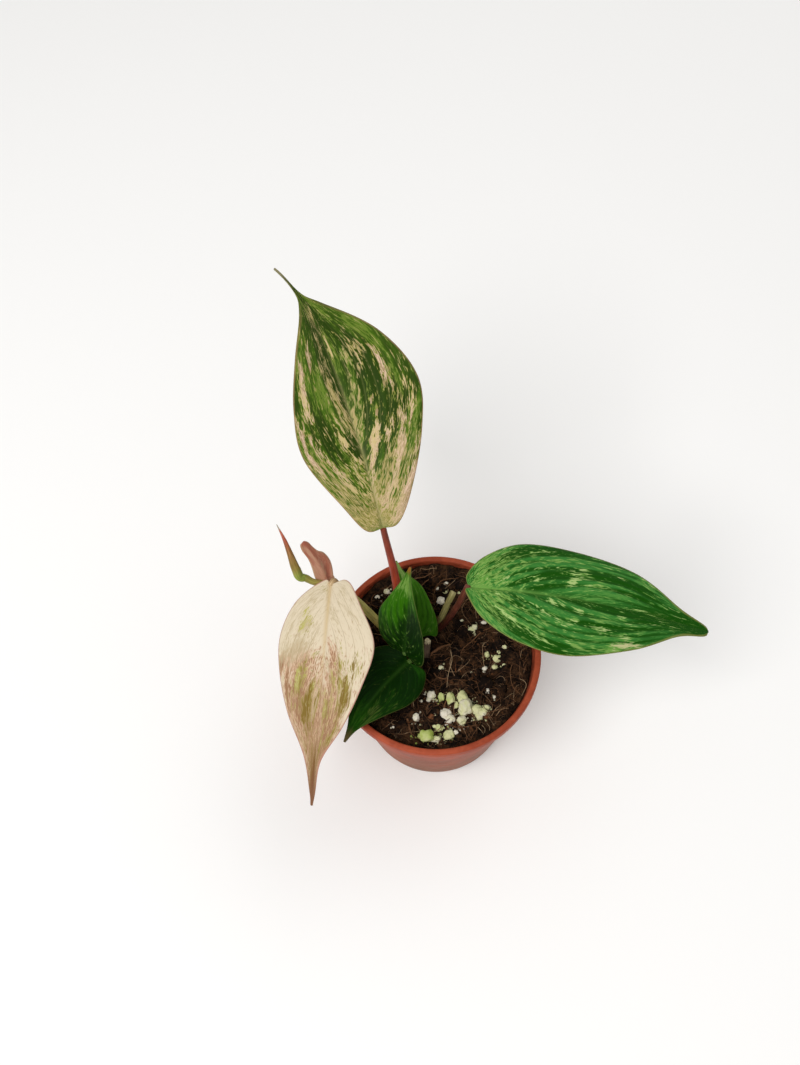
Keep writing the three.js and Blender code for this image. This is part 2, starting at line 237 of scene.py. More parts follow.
def makeFloor():
    material, _, shader = newMaterial("floor", 0.9, 0.1)
    shader.inputs["Base Color"].default_value = paint(studio["floor"])
    half = studio["floorSize"] / 2
    corners = [(-half, -half, 0), (half, -half, 0), (half, half, 0), (-half, half, 0)]
    mesh = bpy.data.meshes.new("floor")
    mesh.from_pydata(corners, [], [(0, 1, 2, 3)])
    mesh.materials.append(material)
    floor = bpy.data.objects.new("floor", mesh)
    bpy.context.scene.collection.objects.link(floor)


def makeLight():
    scene = bpy.context.scene
    world = bpy.data.worlds.new("studio")
    world.use_nodes = True
    background = world.node_tree.nodes["Background"]
    background.inputs["Color"].default_value = paint(studio["world"])
    background.inputs["Strength"].default_value = studio["worldLight"]
    scene.world = world
    for name, lamp in studio["lamps"].items():
        light = bpy.data.lights.new(name, "AREA")
        light.shape = "DISK"
        light.size = lamp["size"]
        light.energy = lamp["power"]
        holder = bpy.data.objects.new(name, light)
        holder.location = lamp["place"]
        toPlant = Vector(studio["lampsAimAt"]) - holder.location
        holder.rotation_euler = toPlant.to_track_quat("-Z", "Y").to_euler()
        scene.collection.objects.link(holder)


makeCamera()
makeFloor()
makeLight()
print("camera, light and floor made")


# Leaves
# A leaf lies along its midrib, which points, rises, droops, swings and hooks by degrees over its length.
# left and right are outline points: how far along the midrib, and how far out in half widths.
# A place on the blade is [outward, share]: outward runs from -1 at the left margin to 1 at the right
# one, and share from 0 at the stalk to 1 at the tip.
# Side veins run from the midrib outward and forward, and everything in the blade's pattern follows them.

bladeForm = {
    "midribSteps": 240,
    "firstRow": 0.012,  # share of the length where the blade's first row of points lies
    "crowding": 1.25,  # over 1, its columns of points stand closer together at the midrib
    "grooveWide": 0.55,  # mm, along the midrib on the upper side
    "plainWide": 1.6,  # mm on each side of the midrib where the side veins fade out
    "marginThin": 0.2,  # thickness of the very margin, as a share of the blade's
    "ribWide": 0.75,  # mm, of the midrib's ridge on the underside at the stalk
    "ribNarrowing": 0.35,  # and how much narrower it is at the tip
    "veinRibWide": 0.25,  # as a share of the way from one side vein to midway to the next
    "veinRibHigh": 0.12,
    "mapStretch": 1.4,  # how much wider the pattern's map is than the blade
    "mapApart": 60,  # mm that each half of the map is moved off the middle
}


def headings(leaf, along):
    lift = np.radians(leaf["rise"] - leaf["droop"] * along)
    turn = np.radians(leaf["points"] + leaf["swing"] * along + leaf["hook"] * along ** 6)
    return np.stack([np.cos(lift) * np.cos(turn), np.cos(lift) * np.sin(turn), np.sin(lift)], -1), turn


def onBlade(leaf, along, out):
    inside = np.clip(along, 0, 1)
    ahead, turn = headings(leaf, inside)
    level = np.stack([np.sin(turn), -np.cos(turn), 0 * turn], -1)
    upward = np.cross(level, ahead)
    roll = np.radians(leaf["roll"] + leaf["twist"] * inside)[..., None]
    right = np.cos(roll) * level + np.sin(roll) * upward
    up = np.cos(roll) * upward - np.sin(roll) * level
    stops = np.linspace(0, 1, bladeForm["midribSteps"] + 1)
    strides = headings(leaf, (stops[1:] + stops[:-1]) / 2)[0] * leaf["length"] / bladeForm["midribSteps"]
    line = np.vstack([[0, 0, 0], np.cumsum(strides, 0)]) + leaf["base"]
    centre = np.stack([np.interp(inside, stops, line[:, k]) for k in range(3)], -1)
    centre += ahead * (np.minimum(along, 0) * leaf["length"])[..., None]
    fold = np.radians(leaf["fold"][0] + (leaf["fold"][1] - leaf["fold"][0]) * inside)
    curl = np.radians(leaf["curl"][0] + (leaf["curl"][1] - leaf["curl"][0]) * inside) / leaf["halfWidth"]
    slope = fold - curl * np.abs(out)
    sideways = np.sign(out) * (np.sin(fold) - np.sin(slope)) / curl
    raised = (np.cos(slope) - np.cos(fold)) / curl
    points = centre + right * sideways[..., None] + up * raised[..., None]
    normals = up * np.cos(slope)[..., None] - right * (np.sign(out) * np.sin(slope))[..., None]
    return points, normals / np.linalg.norm(normals, axis=-1, keepdims=True)


def throughPoints(corners, shares):
    corners = np.array(corners, float)
    padded = np.vstack([2 * corners[0] - corners[1], corners, 2 * corners[-1] - corners[-2]])
    place = shares * (len(corners) - 1)
    i = np.minimum(place.astype(int), len(corners) - 2)
    f = (place - i)[:, None]
    before, start, end, after = padded[i], padded[i + 1], padded[i + 2], padded[i + 3]
    square = (2 * before - 5 * start + 4 * end - after) * f ** 2
    return 0.5 * (2 * start + (end - before) * f + square + (3 * start - before - 3 * end + after) * f ** 3)


def veinLabel(outward, share):
    # the same all along one side vein: minus the share of the midrib where that vein starts
    return -np.log(1 - 0.5 * np.abs(outward)) - share


def spread(leaf, spots, outward, share):
    # soft spots drawn out along the side veins, each [outward, share, wide, long, strength]
    total = np.zeros_like(share)
    across = bladeForm["mapStretch"] * leaf["halfWidth"]
    for spotOut, spotShare, wide, long, strength in spots:
        apart = across * (veinLabel(outward, share) - veinLabel(np.array(spotOut), spotShare)) / wide
        further = leaf["length"] * (share - spotShare) / long
        sameSide = 1.0
        if spotOut:
            sameSide = ease(outward * np.sign(spotOut) * leaf["halfWidth"], -leaf["spill"], 0.2)
        total += strength * sameSide * np.exp(-(apart ** 2) - further ** 2)
    return total


def bladeFaces(rows, columns):
    # the upper side, the lower side and the strip that joins them round the margin
    index = np.arange(rows * columns).reshape(rows, columns)
    a, b, c, d = index[:-1, :-1], index[:-1, 1:], index[1:, 1:], index[1:, :-1]
    upper = np.stack([a, b, c, d], -1).reshape(-1, 4)
    lower = np.stack([a, d, c, b], -1).reshape(-1, 4) + index.size
    rim = np.concatenate([index[:, 0][::-1], index[0, 1:], index[1:, -1], index[-1, :-1][::-1]])
    follow = np.roll(rim, -1)
    border = np.stack([rim, rim + index.size, follow + index.size, follow], -1)[:-1]
    return np.vstack([upper, lower, border])


def makeLeaf(name, leaf, material, node):
    rows, half = leaf["rows"], leaf["columns"]
    shares = bladeForm["firstRow"] + (1 - bladeForm["firstRow"]) * np.linspace(0, 1, rows + 1)
    across = np.linspace(-1, 1, 2 * half + 1)
    across = np.sign(across) * np.abs(across) ** bladeForm["crowding"]
    left = throughPoints(leaf["left"], shares)
    right = throughPoints(leaf["right"], shares)
    outward, share = np.meshgrid(across, shares)
    margin = np.where(outward[..., None] < 0, left[:, None, :], right[:, None, :])
    halfWide = np.abs(margin[..., 1])
    reach = np.abs(outward)
    onMidrib = shares[:, None] ** 1.6
    onMidrib[0] = 0
    along = (1 - reach) * onMidrib + reach * margin[..., 0]
    out = outward * margin[..., 1] * leaf["halfWidth"]
    points, normals = onBlade(leaf, along, out)

    # side veins sunk in the upper side, with the blade puffed up between them
    label = veinLabel(outward, share)
    starts = -np.array(leaf["veinStarts"][::-1], float)
    phase = np.interp(label, starts, np.arange(len(starts)))
    toVein = 2 * np.abs(phase - np.round(phase))
    offMidrib = 1 - np.exp(-((out / bladeForm["plainWide"]) ** 2))
    settled = offMidrib * (1 - reach ** 5) * ease(np.clip(halfWide, 0, 1), 0.05, 0.6)
    height = leaf["puff"] * np.sin(toVein * math.pi / 2) * settled
    height -= leaf["midribDepth"] * np.exp(-((out / bladeForm["grooveWide"]) ** 2)) * (1 - 0.8 * share)
    for bendOut, bendShare, wideness, length, lift in leaf["bends"]:
        near = ((outward - bendOut) / wideness) ** 2 + ((share - bendShare) / length) ** 2
        height += lift * np.exp(-near)

    # a thinner margin, and ridges under the midrib and the side veins
    thin = bladeForm["marginThin"]
    edge = np.sqrt(np.clip(1 - reach ** 12, 0, 1)) * (1 - thin) + thin
    thick = leaf["thickness"] * edge / 2
    ribWide = bladeForm["ribWide"] - bladeForm["ribNarrowing"] * share
    ribbed = leaf["midribHeight"] * np.exp(-((out / ribWide) ** 2)) * (1.05 - share) ** 0.6
    ribbed += bladeForm["veinRibHigh"] * np.exp(-((toVein / bladeForm["veinRibWide"]) ** 2)) * settled
    upper = points + normals * (height + thick)[..., None]
    lower = points + normals * (height - thick - ribbed)[..., None]
    faces = bladeFaces(rows + 1, 2 * half + 1)
    points = np.vstack([upper.reshape(-1, 3), lower.reshape(-1, 3)])
    piece = newPiece(name, points, faces.tolist(), material, [node])

    def addBoth(layer, values):
        # the same on the upper and the lower side
        addValues(piece, layer, np.tile(values.ravel(), 2))

    addBoth("cream", leaf["creamBase"] + spread(leaf, leaf["cream"], outward, share))
    for layer in ("toneAndShading", "hazeAndShade", "blush"):
        addBoth(layer, spread(leaf, leaf[layer], outward, share))
    # whole numbers of veinCount lie on the side veins, which fade out at the midrib, margin and tip
    addBoth("veinCount", phase)
    addBoth("veined", settled * ease(1 - share, 0, 0.35))
    addBoth("midrib", np.exp(-((out / (0.75 - 0.5 * share)) ** 2)))
    addBoth("fromEdge", (1 - reach) * np.maximum(halfWide * leaf["halfWidth"], 3))
    addBoth("share", share)
    addValues(piece, "under", np.repeat([0.0, 1.0], outward.size))

    # the map that the pattern is drawn on, kept apart for the two sides of the midrib
    corners = faces.ravel() % outward.size
    faceSide = np.sign(outward.ravel()[faces % outward.size].mean(1))
    mapAcross = bladeForm["mapStretch"] * leaf["halfWidth"] * label.ravel()[corners]
    mapAcross += bladeForm["mapApart"] * np.repeat(faceSide, 4)
    mapAlong = leaf["length"] * share.ravel()[corners]
    addMap(piece, "veinMap", np.stack([mapAcross, mapAlong], -1))


leafPattern = {
    # waves in each mm across and along the side veins, start in the noise, detail and roughness
    "waver": ((0.35, 0.22, 1), 23, 2, 0.5),
    "files": ((2.2, 0.06, 1), 0, 1, 0.5),
    "patches": ((0.42, 0.17, 1), 3, 3, 0.6),
    "streaks": ((1.25, 0.4, 1), 7, 3, 0.6),
    "threads": ((3.2, 0.75, 1), 11, 2, 0.6),
    "drift": ((0.16, 0.08, 1), 17, 2, 0.5),
}


def leafNoise(tree, vector, kind, seed):
    waves, start, detail, roughness = leafPattern[kind]
    place = stretched(tree, vector, waves, (0, 0, seed + start))
    values = {"Vector": place, "Scale": 1.0, "Detail": detail, "Roughness": roughness}
    return addNode(tree, "ShaderNodeTexNoise", values).outputs


def leafClouds(tree, look, flat):
    # the pattern wavers a little, and each file of cells begins before or after its neighbour
    seed = look["seed"]
    waver = leafNoise(tree, flat, "waver", seed)["Color"]
    waver = vectorCalc(tree, "SUBTRACT", {0: waver, 1: (0.5, 0.5, 0.5)})[0]
    waver = vectorCalc(tree, "SCALE", {0: waver, "Scale": look["waver"]})[0]
    veins = vectorCalc(tree, "ADD", {0: flat, 1: waver})[0]
    files = calc(tree, "MULTIPLY", leafNoise(tree, flat, "files", seed)[0], look["ragged"])
    slid = addNode(tree, "ShaderNodeCombineXYZ", {1: files}).outputs[0]
    ragged = vectorCalc(tree, "ADD", {0: veins, 1: slid})[0]
    patches = leafNoise(tree, ragged, "patches", seed)[0]
    streaks = leafNoise(tree, ragged, "streaks", seed)[0]
    threads = leafNoise(tree, veins, "threads", seed)[0]
    drift = leafNoise(tree, veins, "drift", seed)[0]
    return patches, streaks, threads, drift


def leafCells(tree, look, clouds, fromVein, veined):
    patches, streaks, threads, drift = clouds
    # the green, with finer brighter streaks and a pale veil
    # lighter where the blade is puffed up and darker along the side veins: painted light on the puffs and
    # painted shade in the grooves
    puffed = calc(tree, "MULTIPLY", calc(tree, "SUBTRACT", step(tree, fromVein, 0.0, 0.8), 0.5), veined)
    # the tone spots give the green's own darker and lighter patches, and painted light and shade as well
    toneAndShading = weighted(tree, reading(tree, "toneAndShading"), (drift, look["drift"]), (patches, 1.0), (streaks, 0.7))
    toneAndShading = calc(tree, "ADD", toneAndShading, calc(tree, "MULTIPLY", puffed, look["quiltShading"]))
    green = mixed(tree, step(tree, toneAndShading, -0.5, 0.5), paint(look["deep"]), paint(look["green"]))
    fine = weighted(tree, streaks, (threads, 1.3), (drift, 0.8), (step(tree, toneAndShading, -0.7, 0.3), 0.25))
    brightness = step(tree, fine, look["brightFrom"], look["brightFrom"] + 0.14, 0, look["brightShare"])
    green = mixed(tree, brightness, green, paint(look["bright"]))
    hazeAndShadeMask = weighted(tree, reading(tree, "hazeAndShade"), (patches, 1.0), (streaks, 2.2), (threads, 1.6))
    grain = step(tree, weighted(tree, 0.5, (streaks, 1.6), (threads, 2.4)), 0.2, 0.8)
    hazeAndShade = mixed(tree, grain, paint(look["hazed"]), paint(look["hazedPaleAndShade"]))
    green = mixed(tree, step(tree, hazeAndShadeMask, 0.25, 0.75, 0, look["hazeShow"]), green, hazeAndShade)

    # the pale cells over it, with a rim where only their upper layer is pale
    weights = (patches, look["patchy"]), (streaks, look["streaky"]), (threads, look["thready"])
    cream = weighted(tree, reading(tree, "cream"), *weights)
    green = mixed(tree, step(tree, cream, 0.2, 0.42, 0, look["rimShow"]), green, paint(look["rim"]))
    blush = weighted(tree, reading(tree, "blush"), (drift, 1.2), (streaks, 0.8), (threads, look["speckle"]))
    pale = mixed(tree, step(tree, blush, 0.1, 0.8), paint(look["cream"]), paint(look["blush"]))
    freckles = weighted(tree, blush, (threads, 2.0), (streaks, 1.0))
    pale = mixed(tree, step(tree, freckles, 0.6, 1.2, 0, look["freckled"]), pale, paint(look["freckle"]))
    # greyer pale cells where the haze lies: a veil of the leaf's own, and on the pink leaf painted shade on
    # its down-curled side
    pale = mixed(tree, step(tree, hazeAndShadeMask, 0.3, 0.9, 0, look["paleHazeAndShade"]), pale, paint(look["hazedPaleAndShade"]))
    return mixed(tree, step(tree, cream, 0.5 - look["soft"], 0.5 + look["soft"]), green, pale)


def leafDetails(tree, look, colour, streaks, fromVein, veined):
    # veins, midrib, margin, tip and the duller underside, each over the last
    ragVein = weighted(tree, fromVein, (streaks, look["veinWide"]))
    sideVeins = calc(tree, "MULTIPLY", step(tree, ragVein, look["veinWide"], 0.0), veined)
    colour = mixed(tree, calc(tree, "MULTIPLY", sideVeins, look["veinShow"]), colour, paint(look["veins"]))
    share = reading(tree, "share")
    lengthwise = step(tree, share, *look["midribEnds"], look["midribShow"], 0)
    midrib = calc(tree, "MULTIPLY", reading(tree, "midrib"), lengthwise)
    colour = mixed(tree, midrib, colour, paint(look["midrib"]))
    fromEdge = weighted(tree, reading(tree, "fromEdge"), (streaks, 0.3))
    edge = step(tree, fromEdge, look["edgeWide"] * 0.4, look["edgeWide"], look["edgeShow"], 0)
    edge = calc(tree, "MULTIPLY", edge, step(tree, share, 0.6, 0.8, 1, look["edgeAtTip"]))
    colour = mixed(tree, edge, colour, paint(look["edge"]))
    tip = weighted(tree, share, (streaks, 0.12))
    tip = step(tree, tip, look["tipFrom"], look["tipFrom"] + look["tipSoft"], 0, look["tipShow"])
    colour = mixed(tree, tip, colour, paint(look["tip"]))
    under = calc(tree, "MULTIPLY", reading(tree, "under"), look["underShow"])
    return mixed(tree, under, colour, paint(look["under"]))


def leafMaterial(name, look):
    material, tree, shader = newMaterial(name, look["roughness"], look["shine"], look["sheen"])
    flat = addNode(tree, "ShaderNodeUVMap", uv_map="veinMap").outputs[0]
    clouds = leafClouds(tree, look, flat)
    streaks, threads = clouds[1:3]
    # 0 on a side vein and 1 midway between two
    fromVein = calc(tree, "MULTIPLY", calc(tree, "PINGPONG", reading(tree, "veinCount"), 0.5), 2.0)
    veined = reading(tree, "veined")
    colour = leafCells(tree, look, clouds, fromVein, veined)
    colour = leafDetails(tree, look, colour, streaks, fromVein, veined)
    tree.links.new(colour, shader.inputs["Base Color"])

    pores = cloud(tree, stretched(tree, flat, (9, 5, 1)), 1, 1)
    roughness = weighted(tree, look["roughness"], (streaks, 0.25), (threads, 0.2))
    tree.links.new(roughness, shader.inputs["Roughness"])
    addBump(tree, shader, weighted(tree, pores, (threads, 1.5)), look["bump"], 0.6)
    return material


baseLook = {
    "roughness": 0.5,
    "shine": 0.1,
    "sheen": 0.0,
    "bump": 0.05,
    "waver": 2.2,
    "ragged": 5.0,
    "drift": 1.4,
    "quiltShading": 0.4,
    "patchy": 2.2,
    "streaky": 2.8,
    "thready": 2.0,
    "soft": 0.1,
    "speckle": 0.8,
    "freckled": 0.0,
    "freckle": "#8e6444",
    "brightFrom": 0.56,
    "brightShare": 0.7,
    "hazeShow": 0.8,
    "paleHazeAndShade": 0.2,
    "rimShow": 0.5,
    "veinShow": 0.25,
    "veinWide": 0.22,
    "midribEnds": (0.45, 0.9),  # shares of the length between which the pale midrib fades
    "edgeWide": 0.5,
    "edgeShow": 0.8,
    "edgeAtTip": 1.0,
    "tipSoft": 0.07,
    "tipShow": 0.8,
    "underShow": 0.72,
}

plainLeaf = {
    "hook": 0,
    "thickness": 0.45,
    "midribHeight": 0.7,
    "spill": 0.6,  # mm that a spot reaches past the midrib
    "bends": [],
    "cream": [],
    "toneAndShading": [],
    "hazeAndShade": [],
    "blush": [],
}

marbledLeaf = {
    **plainLeaf,
    "base": (-12.1, 20.5, 88),
    "length": 79.7,
    "halfWidth": 17.1,
    "points": 102,
    "rise": 29.6,
    "droop": 27.9,
    "swing": 8.6,
    "hook": 21.8,
    "roll": -3.4,
    "twist": 1,
    "fold": (17, 15),
    "curl": (7, 8.5),
    "left": [
        (0, 0), (0.005, 0.28), (0.09, 0.53), (0.275, 0.935), (0.44, 0.86), (0.62, 0.55), (0.79, 0.155),
        (0.87, 0.033), (1, 0.015),
    ],
    "right": [
        (0, 0), (0.005, 0.25), (0.09, 0.55), (0.275, 0.985), (0.44, 1.175), (0.62, 0.88), (0.79, 0.255),
        (0.87, 0.04), (1, 0.015),
    ],
    "rows": 150,
    "columns": 34,
    "veinStarts": [-0.6, -0.42, -0.26, -0.12, 0.0, 0.09, 0.18, 0.28, 0.4, 0.54, 0.7],
    "puff": 0.22,
    "midribDepth": 0.25,
    "creamBase": -0.1,
    # the larger pale patches: outward, share, wide and long in mm, strength
    "cream": [
        (-0.25, 0.19, 16, 9, 0.4), (0.45, 0.19, 14, 9, 0.4), (0.86, 0.2, 4.5, 9, 0.9),
        (0.95, 0.32, 1.4, 6, 0.5), (-0.87, 0.36, 1.8, 3.5, 0.8), (-0.76, 0.42, 1.0, 3, 0.5),
        (-0.82, 0.54, 1.2, 5, 1.2), (-0.88, 0.6, 1.1, 3, 0.9), (-0.71, 0.645, 1.3, 5, 1.3),
        (-0.97, 0.48, 0.8, 9, 0.6), (-0.25, 0.44, 1.1, 5, 0.8), (0, 0.68, 40, 14, -0.35),
        (-0.17, 0.31, 1.8, 6, 0.5), (-0.52, 0.33, 2.0, 4, 0.45), (-0.66, 0.4, 1.2, 4, 0.4),
        (-0.95, 0.7, 1.0, 2.5, 0.5), (-0.45, 0.72, 1.6, 3, 0.3), (0.18, 0.4, 1.1, 7, 0.8),
        (0.26, 0.45, 0.8, 3, 0.5), (0.47, 0.43, 1.2, 3, 0.8), (0.68, 0.43, 1.2, 4, 0.8),
        (0.52, 0.3, 1.4, 6, 0.7), (0.3, 0.23, 1.4, 5, 0.5), (0.84, 0.45, 0.6, 6, 0.8),
        (0.64, 0.36, 1.6, 3, 0.6), (0.56, 0.65, 1.3, 3, 0.7), (0.7, 0.59, 1.2, 3.4, 1.2),
        (0.76, 0.65, 0.7, 2, 0.8), (0.66, 0.52, 1.0, 1.6, 0.8), (0.83, 0.51, 0.7, 2.0, 0.8),
        (0.33, 0.535, 0.8, 1.5, 0.8), (0.14, 0.73, 1.0, 2.2, 1.1), (0.52, 0.72, 0.8, 1.5, 0.6),
        (-0.95, 0.45, 1.0, 4, 0.4), (0.1, 0.3, 3, 8, 0.25),
    ],
    "toneAndShading": [
        (0.35, 0.6, 5, 8, -0.8), (0.6, 0.47, 3, 5, -0.9), (-0.52, 0.44, 3, 6, -0.7),
        (-0.2, 0.68, 4, 7, -0.9), (-0.12, 0.42, 1.6, 5, -0.6), (0.2, 0.6, 2.5, 6, 0.4),
        (-0.6, 0.58, 4, 4, 0.4), (-0.4, 0.1, 8, 8, 0.3), (0.5, 0.1, 6, 8, 0.4), (0, 0.14, 40, 14, 0.6),
        (0.9, 0.62, 3, 10, 0.2), (-0.2, 0.78, 6, 3, -0.8), (0, 0.93, 20, 5, -0.9),
        (0.4, 0.78, 6, 4, -0.5),
    ],
    # where the green is veiled: pale cells lie under it
    "hazeAndShade": [
        (-0.5, 0.17, 16, 10, 0.95), (0.3, 0.15, 16, 10, 0.95), (-0.33, 0.61, 2.2, 4, 0.45),
        (-0.16, 0.54, 1.3, 6, 0.35), (-0.45, 0.73, 2.2, 2.5, 0.5), (-0.1, 0.4, 1.6, 9, 0.3),
        (0, 0.835, 9, 1.2, 0.9), (0, 0.79, 5, 0.8, 0.5), (-0.55, 0.79, 4, 2, 0.45),
        (0.55, 0.65, 2.4, 4, 0.4), (0.12, 0.3, 4, 9, 0.4), (0.6, 0.33, 6, 7, 0.4),
        (0.85, 0.5, 3, 12, 0.2), (-0.8, 0.35, 5, 6, 0.4), (0, 0.5, 2, 14, 0.4),
    ],
    "blush": [
        (-0.85, 0.4, 5, 8, 0.7), (0.9, 0.22, 4, 12, 1.0), (0.6, 0.35, 6, 12, 0.6),
        (-0.75, 0.6, 3, 8, 0.9), (0.6, 0.6, 4, 8, 0.9), (0.2, 0.4, 3, 10, 0.4), (0.1, 0.15, 5, 8, 0.5),
        (-0.71, 0.64, 2, 5, 0.5),
    ],
}
marbledLook = {
    **baseLook,
    "seed": 2.0,
    "sheen": 0.02,
    "deep": "#263c00",
    "green": "#466710",
    "bright": "#7a8d36",
    "brightShare": 0.55,
    "hazed": "#8b823c",
    "hazedPaleAndShade": "#bea778",
    "hazeShow": 0.9,
    "rim": "#9f9b48",
    "rimShow": 0.7,
    "veinShow": 0.18,
    "cream": "#c8b47d",
    "blush": "#d8b9a0",
    "speckle": 2.2,
    "paleHazeAndShade": 0.5,
    "freckle": "#8b7448",
    "freckled": 0.85,
    "veins": "#85884a",
    "midrib": "#9a965f",
    "midribShow": 0.6,
    "edge": "#a3805a",
    "edgeWide": 0.42,
    "edgeShow": 0.6,
    "edgeAtTip": 0.2,
    "tip": "#948a6c",
    "tipFrom": 0.92,
    "under": "#8d8a62",
}
marbledFinish = leafMaterial("marbled_leaf", marbledLook)
makeLeaf("marbled_blade", marbledLeaf, marbledFinish, "marbled_leaf")

greenLeaf = {
    **plainLeaf,
    "base": (9.3, 8.2, 75),
    "length": 69.7,
    "halfWidth": 15.3,
    "points": -7.9,
    "rise": -1.6,
    "droop": 25.6,
    "swing": -2.8,
    "roll": 3.8,
    "twist": -7.9,
    "fold": (9, 9.3),
    "curl": (22.8, 21.7),
    "left": [
        (0, 0), (-0.005, 0.24), (0.063, 0.63), (0.203, 0.96), (0.403, 0.945), (0.662, 0.725),
        (0.856, 0.275), (0.976, 0.1), (1, 0.02),
    ],
    "right": [
        (0, 0), (-0.005, 0.145), (0.063, 0.61), (0.203, 0.955), (0.403, 1.065), (0.662, 0.735),
        (0.856, 0.28), (0.976, 0.125), (1, 0.02),
    ],
    "rows": 140,
    "columns": 32,
    "veinStarts": [-0.55, -0.36, -0.2, -0.06, 0.06, 0.16, 0.27, 0.4, 0.55, 0.72],
    "puff": 0.42,
    "midribDepth": 0.45,
    "creamBase": -0.25,
    "cream": [
        (-0.45, 0.54, 3.0, 2.2, 0.65), (-0.3, 0.53, 1.5, 1.5, 0.5), (-0.26, 0.42, 0.9, 2.5, 0.7),
        (-0.25, 0.31, 0.9, 3, 0.8), (-0.28, 0.21, 0.8, 2, 0.6), (-0.85, 0.44, 0.8, 3, 0.6),
        (-0.9, 0.59, 1.0, 2.0, 0.7), (-0.93, 0.66, 1.2, 2, 0.45), (-0.62, 0.83, 0.9, 1.8, 0.75),
        (-0.1, 0.765, 1.2, 1.8, 0.75), (-0.52, 0.46, 0.5, 6, 0.65), (-0.92, 0.31, 2.0, 3, 0.6),
        (-0.65, 0.29, 1.5, 3, 0.4), (0.37, 0.67, 0.8, 1.6, 0.75), (0.52, 0.665, 0.7, 1.0, 0.7),
        (0.6, 0.585, 1.2, 1.8, 0.9), (0.92, 0.62, 1.5, 2.6, 1.0), (0.76, 0.63, 2.0, 1.2, 0.45),
        (0.25, 0.56, 0.9, 1.6, 0.75), (0.14, 0.49, 1.0, 2.0, 0.7), (0.27, 0.44, 0.5, 4, 0.7),
        (0.37, 0.46, 0.5, 5, 0.7), (0.5, 0.5, 0.6, 3, 0.5), (0.65, 0.54, 0.8, 3, 0.45),
        (0.8, 0.43, 0.9, 2.6, 0.7), (0.56, 0.3, 0.8, 2.6, 0.75), (0.15, 0.26, 1.2, 3, 0.6),
        (0.66, 0.35, 1.5, 2, 0.6), (0.75, 0.48, 0.6, 2.5, 0.6), (0.35, 0.35, 2.0, 3, 0.35),
        (0.5, 0.22, 1.2, 4, 0.4), (0.32, 0.2, 1.0, 2.5, 0.45), (-0.62, 0.17, 1.2, 3, 0.4),
        (-0.42, 0.2, 1.0, 2.5, 0.5), (0.65, 0.79, 0.6, 1.5, 0.6), (0.42, 0.775, 0.4, 2.0, 0.6),
        (0.6, 0.73, 0.6, 1.5, 0.5), (-0.8, 0.76, 1.0, 2.0, 0.45), (-0.6, 0.67, 0.6, 1.5, 0.4),
        (-0.2, 0.6, 0.8, 1.5, 0.4), (0.95, 0.35, 0.8, 6, 0.4), (-0.75, 0.62, 0.6, 1.2, 0.45),
        (0.02, 0.6, 0.4, 8, 0.3),
    ],
    # the narrow, long, strong darks lie beside side veins: painted shade of the quilted blade; the other
    # spots darken and lighten the green
    "toneAndShading": [
        (-0.8, 0.38, 1.8, 8, -1.6), (-0.62, 0.6, 1.8, 9, -1.4), (-0.38, 0.48, 0.9, 8, -1.5),
        (-0.5, 0.68, 1.5, 5, -1.0), (0.13, 0.62, 1.4, 7, -1.6), (0.55, 0.6, 1.8, 5, -1.5),
        (0.77, 0.36, 1.7, 8, -1.6), (0.3, 0.36, 0.6, 7, -1.2), (0.45, 0.76, 4, 6, -0.9),
        (0, 0.9, 20, 8, -0.9), (-0.85, 0.14, 5, 4, -0.3), (-0.12, 0.42, 0.8, 4, -0.5),
        (0, 0.2, 20, 10, 0.35), (-0.7, 0.5, 1.6, 7, 0.8), (-0.4, 0.62, 2.4, 5, 0.6),
        (0.5, 0.5, 3, 6, 0.5), (0.4, 0.63, 1.6, 4, 0.6), (-0.85, 0.74, 2.5, 3, 0.5),
    ],
    "hazeAndShade": [
        (-0.7, 0.48, 1.6, 6, 0.35), (-0.38, 0.62, 2.0, 4, 0.3), (0.36, 0.6, 1.6, 5, 0.3),
        (0.6, 0.47, 3, 4, 0.25), (-0.4, 0.25, 10, 9, 0.6), (0.4, 0.27, 10, 9, 0.6),
        (0, 0.14, 7, 5, 0.6), (0.95, 0.6, 2, 6, 0.6), (0, 0.82, 4, 3, 0.35), (-0.9, 0.25, 3, 5, 0.4),
    ],
    "blush": [(0.93, 0.62, 1.5, 2.5, 1.0)],
}
greenLook = {
    **baseLook,
    "seed": 31.0,
    "roughness": 0.45,
    "shine": 0.08,
    "patchy": 1.1,
    "streaky": 1.9,
    "thready": 2.3,
    "deep": "#134a00",
    "green": "#36782e",
    "quiltShading": 0.95,
    "veinWide": 0.26,
    "drift": 0.8,
    "bright": "#5d9440",
    "brightFrom": 0.63,
    "brightShare": 0.55,
    "hazed": "#5f9636",
    "hazedPaleAndShade": "#8fb05a",
    "hazeShow": 0.75,
    "rim": "#6b9c42",
    "rimShow": 0.75,
    "cream": "#a5be74",
    "blush": "#c2bd8c",
    # dark side veins, drawn wide: painted shade on the sunken side of each puff
    "veins": "#1c5806",
    "veinShow": 0.35,
    "midrib": "#6c9a45",
    "midribShow": 0.62,
    "midribEnds": (0.3, 0.8),
    "edge": "#96904f",
    "edgeWide": 0.35,
    "edgeShow": 0.55,
    "tip": "#2c3a10",
    "tipFrom": 0.975,
    "under": "#7f8a62",
}
greenFinish = leafMaterial("green_leaf", greenLook)
makeLeaf("green_blade", greenLeaf, greenFinish, "green_leaf")

